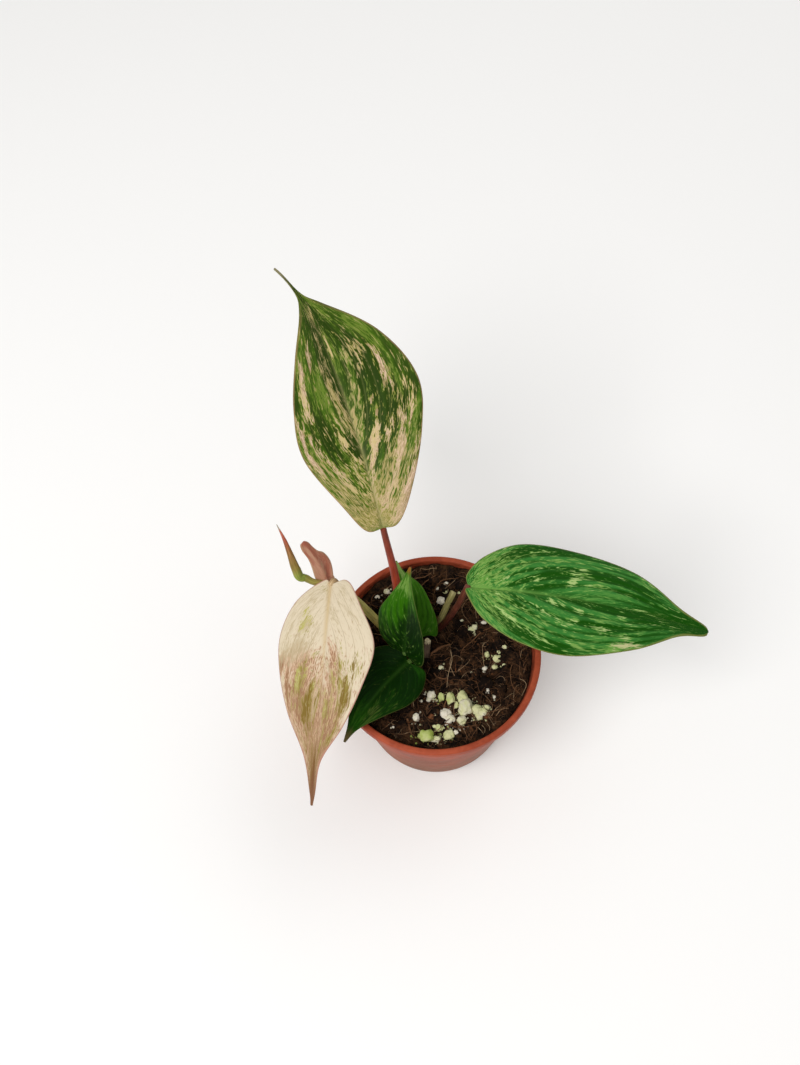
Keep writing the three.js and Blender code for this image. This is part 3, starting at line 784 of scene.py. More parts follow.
pinkLeaf = {
    **plainLeaf,
    "base": (-27.7, 13.5, 70),
    "length": 62,
    "halfWidth": 14.2,
    "points": -98.8,
    "rise": -15,
    "droop": 29.7,
    "swing": -2.9,
    "roll": -15.3,
    "twist": -18.2,
    "fold": (8.6, 10.9),
    "curl": (17.2, 16.3),
    "left": [
        (0, 0), (-0.02, 0.365), (0.085, 0.685), (0.245, 1.05), (0.413, 0.91), (0.594, 0.61),
        (0.773, 0.17), (0.94, 0.08), (1, 0.02),
    ],
    "right": [
        (0, 0), (-0.02, 0.14), (0.085, 0.685), (0.245, 0.985), (0.413, 0.945), (0.594, 0.695),
        (0.773, 0.255), (0.94, 0.06), (1, 0.02),
    ],
    "rows": 130,
    "columns": 32,
    "veinStarts": [-0.5, -0.3, -0.14, 0.02, 0.14, 0.27, 0.42, 0.6, 0.8],
    "puff": 0.3,
    "midribDepth": 0.35,
    "creamBase": 1.0,
    "cream": [
        (0, 0.18, 30, 18, 0.5), (0, 0.68, 20, 12, -0.1), (0.45, 0.33, 1.8, 2.4, -1.4),
        (0.56, 0.28, 1.2, 1.8, -1.0), (-0.68, 0.54, 2.4, 4, -0.9), (-0.42, 0.47, 0.9, 5, -0.6),
        (0.32, 0.62, 1.3, 2, -0.7), (-0.3, 0.64, 1.2, 3, -0.75), (0.45, 0.67, 2.4, 4, -0.9),
        (-0.8, 0.45, 2, 3, -0.6), (0.42, 0.53, 1.8, 4, -0.75), (-0.85, 0.66, 1.5, 4, -0.7),
        (-0.6, 0.73, 1.0, 3, -0.6), (0.62, 0.56, 1.2, 4, -0.5), (0.15, 0.12, 6, 3, -0.4),
        (0.5, 0.15, 6, 2, -0.4), (0.52, 0.2, 0.6, 6, -0.3), (0.2, 0.58, 1.0, 2, -0.4),
        (0, 0.86, 20, 4, -0.75), (-0.5, 0.24, 0.8, 1.5, -0.35), (-0.4, 0.56, 1.2, 5, -0.6),
        (-0.75, 0.5, 1.8, 5, -0.35), (0.12, 0.66, 1.0, 4, -0.5),
    ],
    "toneAndShading": [
        (0.5, 0.31, 4, 5, 0.6), (-0.68, 0.54, 3, 6, -0.2), (0, 0.87, 20, 6, -0.8),
        (0.45, 0.67, 3, 5, -0.7), (-0.85, 0.66, 2, 5, -0.3),
    ],
    # on this leaf the haze also greys the cream, on the side that curls down: painted shade
    "hazeAndShade": [
        (0.6, 0.44, 5, 3, 0.9), (0.4, 0.36, 3, 4, 0.5), (0.85, 0.4, 2, 6, 0.4),
        (-0.15, 0.28, 1.2, 6, 0.35), (0.55, 0.2, 8, 9, 0.55), (0.03, 0.6, 1.5, 10, 0.5),
        (-0.6, 0.22, 8, 9, 0.5),
    ],
    "blush": [
        (0, 0.68, 24, 18, 0.45), (0, 0.18, 24, 12, -0.4), (0.65, 0.6, 4, 6, 0.6),
        (0.4, 0.54, 3, 6, 0.4), (-0.2, 0.44, 1.0, 3, 0.5), (-0.6, 0.67, 5, 6, 0.5),
        (-0.35, 0.52, 1.2, 5, 0.5), (0, 0.77, 20, 7, 0.6), (0.92, 0.47, 1.2, 2.0, 1.6),
        (-0.75, 0.32, 2, 1.5, 0.3), (0.9, 0.2, 2, 6, 0.4), (0.6, 0.46, 5, 2.5, 0.35),
        (-0.3, 0.72, 4, 5, -0.2), (0.86, 0.56, 0.5, 5, 1.3),
    ],
}
pinkLook = {
    **baseLook,
    "seed": 67.0,
    "roughness": 0.55,
    "sheen": 0.02,
    "drift": 0.8,
    "patchy": 1.6,
    "streaky": 2.6,
    "thready": 2.4,
    "soft": 0.3,
    "deep": "#80682c",
    "green": "#b7b062",
    "bright": "#c4c47c",
    "hazed": "#c2b083",
    "hazedPaleAndShade": "#bfae8c",
    "paleHazeAndShade": 0.8,
    "rim": "#b7a774",
    "cream": "#dacbb0",
    "blush": "#c9a587",
    "speckle": 2.4,
    "freckled": 0.8,
    "freckle": "#8c6442",
    "veins": "#98845c",
    "veinShow": 0.6,
    "veinWide": 0.09,
    "midrib": "#c9b184",
    "midribEnds": (0.3, 0.7),
    "midribShow": 0.7,
    "edge": "#b98474",
    "edgeWide": 0.3,
    "tip": "#7b4f32",
    "tipFrom": 0.76,
    "tipSoft": 0.16,
    "tipShow": 0.95,
    "under": "#c9a88a",
}
pinkFinish = leafMaterial("pink_leaf", pinkLook)
makeLeaf("pink_blade", pinkLeaf, pinkFinish, "pink_leaf")
print("three large leaves made")

smallLeaf = {
    **plainLeaf,
    "rows": 80,
    "columns": 24,
    "thickness": 0.4,
    "veinStarts": [-0.5, -0.25, -0.05, 0.1, 0.25, 0.42, 0.62],
    "puff": 0.12,
    "midribDepth": 0.2,
    "midribHeight": 0.4,
}

uprightSmallLeaf = {
    **smallLeaf,
    "base": (-8.6, -3.1, 58),
    "length": 28.3,
    "halfWidth": 9.4,
    "points": 77.7,
    "rise": 62.9,
    "droop": 9.7,
    "swing": 2.5,
    "roll": 36.4,
    "twist": 10.5,
    "fold": (10.8, 21.5),
    "curl": (8.4, 8),
    "left": [
        (0, 0), (-0.009, 0.31), (-0.013, 0.555), (0.1, 0.97), (0.37, 1.01), (0.606, 0.655),
        (0.837, 0.255), (1, 0.03),
    ],
    "right": [
        (0, 0), (-0.009, 0.32), (-0.013, 0.645), (0.1, 0.88), (0.37, 0.885), (0.606, 0.6),
        (0.837, 0.166), (1, 0.03),
    ],
    "puff": 0.14,
    "spill": 3.5,
    "creamBase": -0.45,
    "cream": [
        (-0.75, 0.66, 0.9, 1.2, 0.8), (-0.37, 0.66, 0.5, 1.2, 0.65), (-0.65, 0.74, 0.7, 1.0, 0.6),
        (-0.15, 0.45, 0.5, 1.4, 0.75), (-0.15, 0.39, 0.4, 1.0, 0.5), (0.18, 0.63, 0.8, 0.8, 0.5),
        (0.9, 0.37, 0.8, 1.8, 0.7), (-0.03, 0.21, 0.8, 1.5, 0.6), (0.2, 0.45, 0.3, 2.5, 0.4),
        (0.6, 0.57, 0.3, 2, 0.35),
    ],
    # painted light on the upper left and the tip, painted shade at the base and on the right half
    "toneAndShading": [
        (-0.5, 0.64, 8, 8, 0.4), (0, 0.84, 20, 5, 0.4), (0, 0.2, 20, 8, -0.6),
        (0.5, 0.45, 14, 7, -0.55), (0.5, 0.65, 5, 4, -0.3), (-0.2, 0.46, 4, 4, -0.25),
    ],
    "hazeAndShade": [(-0.3, 0.88, 5, 2.0, 0.9), (0.4, 0.84, 5, 1.6, 0.7), (-0.8, 0.8, 2, 2, 0.4)],
}
smallLook = {
    **baseLook,
    "seed": 91.0,
    "roughness": 0.45,
    "shine": 0.05,
    "patchy": 0.6,
    "streaky": 1.3,
    "thready": 1.2,
    "drift": 0.4,
    # the near-black deep stands partly for painted shade, where the leaves above shadow this one
    "deep": "#072300",
    "green": "#2b6100",
    "bright": "#3f7216",
    "brightShare": 0.4,
    "hazed": "#648a34",
    "hazedPaleAndShade": "#7a9a4c",
    "rim": "#4a7a26",
    "cream": "#86a54e",
    "blush": "#b9a070",
    "veins": "#1d4a0c",
    "midrib": "#2f5418",
    "midribShow": 0.3,
    "edge": "#5f6430",
    "edgeWide": 0.22,
    "edgeShow": 0.4,
    "tip": "#a5562c",
    "tipFrom": 0.93,
    "under": "#5f6f3c",
}
uprightFinish = leafMaterial("small_leaf", smallLook)
makeLeaf("upright_small_blade", uprightSmallLeaf, uprightFinish, "upright_small_leaf")

flatSmallLeaf = {
    **smallLeaf,
    "base": (-7.9, -3.3, 51),
    "length": 29.5,
    "halfWidth": 9.3,
    "points": -137.8,
    "rise": 15.5,
    "droop": 20.8,
    "swing": 16.3,
    "roll": 6,
    "twist": 0,
    "fold": (4.5, 8.4),
    "curl": (13.4, 11.6),
    "left": [
        (0, 0), (-0.05, 0.33), (-0.046, 0.63), (0.12, 0.94), (0.346, 0.93), (0.596, 0.58),
        (0.839, 0.168), (1, 0.03),
    ],
    "right": [
        (0, 0), (-0.05, 0.31), (-0.046, 0.56), (0.12, 1.015), (0.346, 0.93), (0.596, 0.6),
        (0.839, 0.187), (1, 0.03),
    ],
    "spill": 1.5,
    "creamBase": -0.55,
    "cream": [(-0.85, 0.32, 0.6, 1.2, 0.8), (-0.95, 0.4, 0.5, 1.5, 0.6), (-0.9, 0.45, 0.4, 1, 0.4)],
    # painted shade over most of the blade, painted light near its tip and low on its left margin
    "toneAndShading": [(0, 0.4, 30, 12, -0.7), (-0.8, 0.25, 3, 4, 0.7), (0, 0.8, 10, 4, 0.3)],
    "hazeAndShade": [(-0.6, 0.76, 3, 2.5, 0.8)],
}
flatLook = {
    **smallLook,
    "seed": 113.0,
    # deep and green darker than the leaf's own colour: painted shade from the leaves above it
    "deep": "#072500",
    "green": "#1a4a04",
    "thready": 0.5,
    "streaky": 0.6,
    "brightShare": 0.08,
    "hazeShow": 0.4,
    "rimShow": 0.2,
    "hazed": "#404e1c",
    "hazedPaleAndShade": "#5a6430",
    "tip": "#54442a",
    "tipFrom": 0.87,
    "tipSoft": 0.1,
    "midribShow": 0.45,
    "midribEnds": (0.6, 0.95),
}
flatFinish = leafMaterial("flat_small_leaf", flatLook)
makeLeaf("flat_small_blade", flatSmallLeaf, flatFinish, "flat_small_leaf")

hiddenSmallLeaf = {
    **smallLeaf,
    "base": (-4.1, 4.2, 50),
    "length": 23.3,
    "halfWidth": 5.9,
    "points": 103.5,
    "rise": 25.2,
    "droop": 14.5,
    "swing": 1,
    "roll": -2.6,
    "twist": 1.7,
    "fold": (9.2, 10.1),
    "curl": (10.8, 9.7),
    "left": [
        (0, 0), (-0.03, 0.2), (-0.03, 0.4), (0.133, 0.58), (0.351, 0.58), (0.613, 0.45), (0.84, 0.2),
        (1, 0.04),
    ],
    "right": [
        (0, 0), (0, 0.45), (-0.03, 0.83), (0.12, 1.03), (0.34, 1.0), (0.613, 0.8), (0.84, 0.22),
        (1, 0.04),
    ],
    "rows": 70,
    "columns": 18,
    "creamBase": -0.6,
    "toneAndShading": [(0, 0.4, 30, 20, 0.2)],
    "hazeAndShade": [(0.4, 0.86, 6, 2, 0.8)],
}
hiddenLook = {
    **smallLook,
    "seed": 131.0,
    "deep": "#1c4200",
    "green": "#34660c",
    "hazed": "#5c7c36",
    "hazedPaleAndShade": "#7d9652",
    "tip": "#75884a",
    "tipFrom": 0.86,
    "veinShow": 0.5,
}
hiddenFinish = leafMaterial("hidden_small_leaf", hiddenLook)
makeLeaf("hidden_small_blade", hiddenSmallLeaf, hiddenFinish, "hidden_small_leaf")

# The scale leaf behind the last node: short and stiff, with a bulge on its right and a blunt tip
budSheath = {
    **smallLeaf,
    "base": (-28.6, 15.6, 67.4),
    "length": 13.9,
    "halfWidth": 3,
    "points": 114,
    "rise": 52,
    "droop": 14,
    "swing": 21.3,
    "roll": 4,
    "twist": 0,
    "fold": (-16, -8),
    "curl": (18, 18),
    "left": [
        (0, 0), (0, 0.9), (0.175, 0.96), (0.437, 0.74), (0.647, 0.6), (0.854, 0.61), (0.98, 0.42),
        (1, 0.12),
    ],
    "right": [
        (0, 0), (0, 0.8), (0.061, 0.8), (0.222, 1.05), (0.38, 1.18), (0.561, 1.01), (0.671, 0.61),
        (0.793, 0.43), (0.926, 0.35), (1, 0.12),
    ],
    "rows": 70,
    "columns": 20,
    "puff": 0.05,
    "midribDepth": -0.1,
    "midribHeight": 0.1,
    "bends": [(0.45, 0.35, 0.25, 0.3, -0.35), (0.9, 0.45, 0.2, 0.25, 0.3)],
    "creamBase": 1.0,
    "blush": [
        (0.55, 0.4, 1.2, 4, 0.9), (0.3, 0.8, 2, 3, 0.8), (0, 0.95, 5, 1.5, 0.8),
        (-0.9, 0.8, 0.8, 4, 0.6),
    ],
}
sheathLook = {
    **baseLook,
    "seed": 151.0,
    "shine": 0.25,
    "deep": "#9a7a5a",
    "green": "#a5805a",
    "bright": "#c09a78",
    "hazed": "#b58a70",
    "hazedPaleAndShade": "#b58a70",
    "rim": "#b58a70",
    "cream": "#b8896f",
    "blush": "#a0604a",
    "speckle": 1.2,
    "veins": "#a06a55",
    "midrib": "#b07a62",
    "midribShow": 0.1,
    "edge": "#c9b48c",
    "edgeShow": 0.35,
    "tip": "#a55c48",
    "tipFrom": 0.9,
    "under": "#b07c64",
}
sheathFinish = leafMaterial("bud_sheath", sheathLook)
makeLeaf("bud_sheath_scale", budSheath, sheathFinish, "bud_sheath")
print("small leaves and sheath made")


# Stems and stalks

def smoothRoute(corners, shares):
    # a centripetal Catmull-Rom curve through the corners, read at shares of its length
    corners = np.array(corners, float)
    padded = np.vstack([2 * corners[0] - corners[1], corners, 2 * corners[-1] - corners[-2]])
    f = np.linspace(0, 1, 40, endpoint=False)[:, None]
    fine = []
    for i in range(len(corners) - 1):
        before, start, end, after = padded[i:i + 4]
        a = np.linalg.norm(start - before) ** 0.5
        b = np.linalg.norm(end - start) ** 0.5
        c = np.linalg.norm(after - end) ** 0.5
        leaving = ((start - before) / a - (end - before) / (a + b) + (end - start) / b) * b
        arriving = ((end - start) / b - (after - start) / (b + c) + (after - end) / c) * b
        cubic = (2 * start - 2 * end + leaving + arriving) * f ** 3
        square = (3 * end - 3 * start - 2 * leaving - arriving) * f ** 2
        fine.append(cubic + square + leaving * f + start)
    fine = np.vstack([*fine, corners[-1:]])
    travelled = np.concatenate([[0], np.cumsum(np.linalg.norm(np.diff(fine, axis=0), axis=1))])
    wanted = np.asarray(shares) * travelled[-1]
    return np.stack([np.interp(wanted, travelled, fine[:, k]) for k in range(3)], -1), travelled[-1]


def sideways(line):
    # the line's own direction and two square to it at each of its points, with no twist along it
    tangents = np.gradient(line, axis=0)
    tangents /= np.linalg.norm(tangents, axis=1, keepdims=True)
    start = np.cross(tangents[0], (0, 0, 1) if abs(tangents[0][2]) < 0.9 else (1, 0, 0))
    firsts = [start / np.linalg.norm(start)]
    for tangent in tangents[1:]:
        turned = firsts[-1] - tangent * np.dot(firsts[-1], tangent)
        firsts.append(turned / np.linalg.norm(turned))
    firsts = np.array(firsts)
    return tangents, firsts, np.cross(tangents, firsts)


def tube(line, radii, sides):
    # points and faces of a closed tube. Its radii may have a column for each side
    firsts, seconds = sideways(line)[1:]
    angles = (np.arange(sides) / sides * 2 * math.pi)[None, :, None]
    radii = np.broadcast_to(np.asarray(radii, float).reshape(len(line), -1), (len(line), sides))
    ring = firsts[:, None] * np.cos(angles) + seconds[:, None] * np.sin(angles)
    points = (line[:, None] + ring * radii[..., None]).reshape(-1, 3)
    index = np.arange(len(line) * sides).reshape(len(line), sides)
    follow = np.roll(index, -1, axis=1)
    faces = np.stack([index[:-1], follow[:-1], follow[1:], index[1:]], -1).reshape(-1, 4).tolist()
    faces.append(index[0][::-1].tolist())
    faces.append(index[-1].tolist())
    return points, faces


def makeStalk(name, stalk, material, node):
    sides = stalk["sides"]
    shares = np.concatenate([[0], np.linspace(0, 1, stalk["rings"]), [1]])
    line, length = smoothRoute(stalk["route"], shares)
    tangents = sideways(line[1:-1])[0]
    # each change of thickness is softened over a few rings
    soften = stalk["soften"]
    stops, sizes = np.array(stalk["radius"]).T
    radii = np.pad(np.interp(shares, stops, sizes), soften // 2, mode="edge")
    radii = np.convolve(radii, np.ones(soften) / soften, mode="valid")
    for place, wide, high in stalk["nodes"]:
        radii = radii + high * np.exp(-(((shares - place) * length / wide) ** 2))
    # rounded ends: a last smaller ring, a little further out
    for end, nextRing, way in ((0, 1, -1), (-1, -2, 1)):
        rounding = stalk["ends"][end]
        line[end] = line[nextRing] + way * tangents[end] * rounding * radii[end] * 0.5
        radii[end] *= 1 - 0.35 * rounding
    angles = np.arange(sides) / sides * 2 * math.pi
    ribs = np.zeros((len(shares), sides))
    for count, depth, twist in stalk["ribs"]:
        ribs += depth * np.sin(count * angles[None, :] + twist * shares[:, None])
    if stalk["seam"]:
        around = (angles[None, :] / (2 * math.pi) + stalk["seam"][1] * shares[:, None]) % 1
        ribs += stalk["seam"][0] * (around - 0.5) * np.sin(shares * math.pi)[:, None]
    points, faces = tube(line, radii[:, None] * (1 + ribs), sides)
    piece = newPiece(name, points, faces, material, [node])
    addValues(piece, "share", np.repeat(shares, sides))

    # a map round and along the stalk, where the last face of each ring runs on to the full round
    corners = np.concatenate([np.array(face) for face in faces])
    around = (corners % sides) / sides
    faceOf = np.repeat(np.arange(len(faces)), [len(face) for face in faces])
    lastOnes = np.zeros(len(faces), bool)
    lastOnes[:(len(shares) - 1) * sides].reshape(-1, sides)[:, -1] = True
    around = np.where(lastOnes[faceOf] & (around == 0), 1.0, around)
    mapAcross = around * 2 * math.pi * sizes.mean()
    mapAlong = shares[corners // sides] * length
    addMap(piece, "stalkMap", np.stack([mapAcross, mapAlong], -1))


def stalkMaterial(name, look):
    material, tree, shader = newMaterial(name, look["roughness"], 0.2)
    lines = addNode(tree, "ShaderNodeUVMap", uv_map="stalkMap").outputs[0]
    fibres = cloud(tree, stretched(tree, lines, (3.5, 0.25, 1), (0, 0, look["seed"])), 1, 2)
    blotches = cloud(tree, stretched(tree, lines, (0.7, 0.3, 1), (0, 0, look["seed"] + 5)), 1, 2)
    share = weighted(tree, reading(tree, "share"), (blotches, look["mottled"]), (fibres, look["mottled"]))
    ramp = addNode(tree, "ShaderNodeValToRGB", {0: share})
    stops = ramp.color_ramp.elements
    while len(stops) < len(look["colours"]):
        stops.new(0.5)
    for stop, (place, code) in zip(stops, look["colours"]):
        stop.position = place
        stop.color = paint(code)
    shade = step(tree, weighted(tree, 0.5, (fibres, 1.5), (blotches, 1.2)), 0.2, 0.8, 0.72, 1.15)
    grey = addNode(tree, "ShaderNodeCombineColor", {0: shade, 1: shade, 2: shade}).outputs[0]
    colour = mixed(tree, 1.0, ramp.outputs[0], grey, "MULTIPLY")
    tree.links.new(colour, shader.inputs["Base Color"])
    pores = cloud(tree, stretched(tree, lines, (7, 4, 1)), 1, 1)
    tree.links.new(weighted(tree, look["roughness"], (fibres, 0.3)), shader.inputs["Roughness"])
    addBump(tree, shader, weighted(tree, fibres, (pores, 0.6)), look["bump"], 0.7)
    return material


plainStalk = {
    "rings": 40,
    "sides": 28,
    "soften": 7,
    "nodes": [],  # swellings: share of the length, then how long and how high in mm
    "ends": (1, 0.3),  # how rounded the first and the last end are
    "ribs": [],  # how many round the stalk, depth as a share of the radius, twist along it
    "seam": None,
}

mainStem = {
    **plainStalk,
    "route": [
        (-5.6, 0.6, 35), (-5.6, 1.5, 42), (-9.7, 5, 46), (-14.5, 8.4, 50), (-19.9, 12.1, 57.5),
        (-24.2, 14, 63.5), (-28, 15.2, 66.6), (-32.2, 15.3, 68.6), (-34.6, 16.2, 70),
    ],
    "radius": [
        (0, 1.4), (0.25, 1.35), (0.32, 1.5), (0.39, 1.25), (0.72, 1.2), (0.8, 1.5), (0.86, 1.05),
        (0.95, 0.85), (1, 1.05),
    ],
    "rings": 110,
    "nodes": [(0.335, 0.5, 0.1), (0.81, 0.45, 0.1), (0.985, 0.25, 0.08)],
    "ribs": [(5, 0.012, 1.0), (9, 0.008, 3.0)],
}
mainStemLook = {
    "seed": 1.0,
    "roughness": 0.42,
    "mottled": 0.1,
    "bump": 0.05,
    "colours": [
        (0, "#6a6a35"), (0.33, "#a8823c"), (0.42, "#bdb265"), (0.75, "#b9b368"), (0.83, "#b08c5c"),
        (1, "#8c8a3c"),
    ],
}
mainStemFinish = stalkMaterial("main_stem", mainStemLook)
makeStalk("climbing_stem", mainStem, mainStemFinish, "main_stem")

marbledStalk = {
    **plainStalk,
    "route": [(-10.6, 5.8, 46.9), (-10.8, 7.4, 52), (-9.6, 12.5, 66), (-12.1, 20.5, 88)],
    "radius": [(0, 1.35), (0.5, 1.2), (1, 0.85)],
    "rings": 60,
    "ribs": [(2, 0.03, 0.5), (7, 0.01, 2.0)],
}
redStalkLook = {
    "seed": 11.0,
    "roughness": 0.34,
    "mottled": 0.12,
    "bump": 0.05,
    "colours": [(0, "#8f4830"), (0.2, "#9c3f28"), (0.7, "#933823"), (1, "#743222")],
}
redStalkFinish = stalkMaterial("red_stalk", redStalkLook)
makeStalk("marbled_leaf_petiole", marbledStalk, redStalkFinish, "marbled_leaf_stalk")

greenStalk = {
    **plainStalk,
    "route": [(-0.9, 8.2, 36), (-0.4, 8.1, 43.5), (1.8, 7.7, 48), (5.8, 7.3, 61), (9.3, 8.2, 75)],
    "radius": [(0, 1.1), (0.2, 1), (1, 0.8)],
    "rings": 60,
    "ribs": [(2, 0.03, 0.5), (7, 0.01, 2.0)],
}
darkStalkLook = {
    "seed": 23.0,
    "roughness": 0.4,
    "mottled": 0.15,
    "bump": 0.05,
    "colours": [(0, "#3a2018"), (0.5, "#4d241b"), (1, "#6a3a2a")],
}
darkStalkFinish = stalkMaterial("dark_stalk", darkStalkLook)
makeStalk("green_leaf_petiole", greenStalk, darkStalkFinish, "green_leaf_stalk")

pinkStalk = {
    **plainStalk,
    "route": [(-26.2, 14.4, 66), (-26.2, 14.7, 68.6), (-26.8, 14.6, 70.2), (-27.7, 13.5, 70)],
    "radius": [(0, 1), (1, 0.75)],
}
pinkStalkLook = {
    "seed": 29.0,
    "roughness": 0.42,
    "mottled": 0.1,
    "bump": 0.04,
    "colours": [(0, "#a39a55"), (0.5, "#b08a5c"), (1, "#c9ad85")],
}
pinkStalkFinish = stalkMaterial("pink_stalk", pinkStalkLook)
makeStalk("pink_leaf_petiole", pinkStalk, pinkStalkFinish, "pink_leaf_stalk")

smallStalks = {
    "upright_small_leaf_stalk": {
        **plainStalk,
        "route": [
            (-8.6, -0.6, 38), (-8.1, -0.4, 44), (-7.3, -0.3, 50), (-7.6, -1.2, 54.5), (-8.6, -3.1, 58),
        ],
        "radius": [(0, 0.8), (1, 0.7)],
    },
    "flat_small_leaf_stalk": {
        **plainStalk,
        "route": [
            (-4.4, -2.4, 38), (-4.7, -2.2, 44), (-5.2, -1.9, 48), (-6.3, -2.1, 50.2), (-7.9, -3.3, 51),
        ],
        "radius": [(0, 0.8), (1, 0.7)],
    },
    "hidden_small_leaf_stalk": {
        **plainStalk,
        "route": [(-3.2, 5.2, 38), (-3.2, 5.2, 43), (-3.6, 4.6, 47.5), (-4.1, 4.2, 50)],
        "radius": [(0, 0.8), (1, 0.6)],
    },
}
smallStalkLook = {
    "seed": 37.0,
    "roughness": 0.45,
    "mottled": 0.2,
    "bump": 0.04,
    "colours": [(0, "#4c3a22"), (0.5, "#5f5a2c"), (1, "#4c6a2a")],
}
smallStalkFinish = stalkMaterial("small_stalk", smallStalkLook)
for node, stalk in smallStalks.items():
    makeStalk(node.replace("stalk", "petiole"), stalk, smallStalkFinish, node)

growingTip = {
    **plainStalk,
    "route": [
        (-34.6, 16.2, 70), (-35.9, 16.3, 70.3), (-36.8, 18, 71.9), (-38, 21.3, 75), (-39.3, 24.6, 77.6),
        (-41, 27.9, 80),
    ],
    "radius": [(0, 1), (0.12, 1.3), (0.3, 1.2), (0.5, 0.85), (0.7, 0.55), (0.88, 0.26), (1, 0.1)],
    "rings": 90,
    "nodes": [(0.03, 0.3, 0.08)],
    "ends": (1, 1),
    "seam": (0.16, 0.6),  # the step of the rolled leaf's free edge, and its turns along the roll
}
tipLook = {
    "seed": 41.0,
    "roughness": 0.42,
    "mottled": 0.08,
    "bump": 0.04,
    "colours": [
        (0, "#7f8a38"), (0.12, "#8b9440"), (0.25, "#8f7a3a"), (0.55, "#94683c"), (0.72, "#b0583f"),
        (0.88, "#b5654c"), (0.95, "#b5ac98"),
    ],
}
tipFinish = stalkMaterial("growing_tip", tipLook)
makeStalk("rolled_new_leaf", growingTip, tipFinish, "growing_tip")

cutStalk = {
    **plainStalk,
    "route": [(0.9, 10, 40), (2.5, 12.2, 43.6), (4.6, 15.7, 45.4), (6.8, 19.2, 47)],
    "radius": [(0, 0.9), (1, 0.95)],
    "ribs": [(4, 0.05, 1.5), (7, 0.03, -2.0)],
}
cutStalkLook = {
    "seed": 43.0,
    "roughness": 0.6,
    "mottled": 0.25,
    "bump": 0.08,
    "colours": [(0, "#4a3a24"), (0.35, "#8f8650"), (0.9, "#a89d62"), (1, "#b5aa78")],
}
cutStalkFinish = stalkMaterial("cut_stalk", cutStalkLook)
makeStalk("cut_stalk_stick", cutStalk, cutStalkFinish, "cut_stalk")

dryStub = {
    **plainStalk,
    "route": [(-2.3, 0.9, 38), (-2.4, 1.2, 44), (-2, 2.8, 51.2)],
    "radius": [(0, 0.95), (1, 0.85)],
    "ribs": [(3, 0.1, 1.0), (5, 0.07, 3.0), (8, 0.04, -2.0)],
}
dryStubLook = {
    "seed": 47.0,
    "roughness": 0.85,
    "mottled": 0.2,
    "bump": 0.1,
    "colours": [(0, "#33261d"), (0.6, "#5f4c3e"), (0.93, "#7d6a58"), (0.97, "#d8c9a5")],
}
dryStubFinish = stalkMaterial("dry_stub", dryStubLook)
makeStalk("dry_stub_stick", dryStub, dryStubFinish, "dry_stub")
print("stems and stalks made")


# The pot

pot = {
    "rimRadius": 30,
    "height": 50,
    "baseRadius": 22,
    "wall": 1,
    "lipWidth": 1.8,
    "lipDepth": 3,
    "rounding": 0.6,
    "footInside": 18.1,  # inner radius of the ring it stands on
    "footHeight": 0.5,
    "floor": 1.5,  # height of its floor's upper side
    "drainHoles": 6,
    "drainHoleRadius": 2.5,
    "drainCircleRadius": 13,
    "sides": 192,
    "plastic": "#ad5135",
    "plasticDark": "#8f3d26",
    "smear": "#2a1a12",  # soil on the inside, from the first of its heights and full at the second
    "smeared": 0.85,
    "smearHeights": (49.5, 45.5),
    # a duller olive-brown over the plastic, stronger towards the bottom, from the given height down
    "lowerTint": "#75583a",
    "lowerTinted": 0.6,
    "lowerTintFrom": 46,
}


def potWallRadius(height):
    top = pot["rimRadius"] - pot["lipWidth"] + pot["wall"]
    return pot["baseRadius"] + (top - pot["baseRadius"]) * height / pot["height"]


def arc(radius, height, size, start, end, count=5):
    angles = np.radians(np.linspace(start, end, count))
    return [(radius + size * math.cos(a), height + size * math.sin(a)) for a in angles]


def potProfile():
    # half of the pot's section, from the middle of its underside out, up, over the lip and in again
    rim, top, wall, rounding = pot["rimRadius"], pot["height"], pot["wall"], pot["rounding"]
    foot, footInside, floor = pot["footHeight"], pot["footInside"], pot["floor"]
    under = top - pot["lipDepth"]
    inside = rim - pot["lipWidth"]
    underside = [(0, foot), (footInside - 0.6, foot), *arc(footInside - 0.3, foot - 0.2, 0.2, 90, 0, 3)]
    footEdge = [(footInside, 0.0), *arc(pot["baseRadius"] - 0.8, 0.8, 0.8, -90, -8)]
    outside = [(potWallRadius(h), h) for h in np.linspace(2, under - 0.4, 12)]
    outside += [(potWallRadius(under) + 0.05, under - 0.1), (potWallRadius(under) + 0.3, under)]
    lip = arc(rim - 0.3, under + 0.3, 0.3, -90, 0, 4)
    lip += arc(rim - rounding, top - rounding, rounding, 0, 90)
    lip += arc(inside + rounding, top - rounding, rounding, 90, 180)
    inner = [(potWallRadius(h) - wall, h) for h in np.linspace(top - 2.5, 2 * wall + 0.8, 12)]
    inner += arc(potWallRadius(wall) - 2.3 * wall, floor + 0.7, 0.7, 0, -90, 4)
    return underside + footEdge + outside + lip + inner + [(12, floor), (0, floor)]


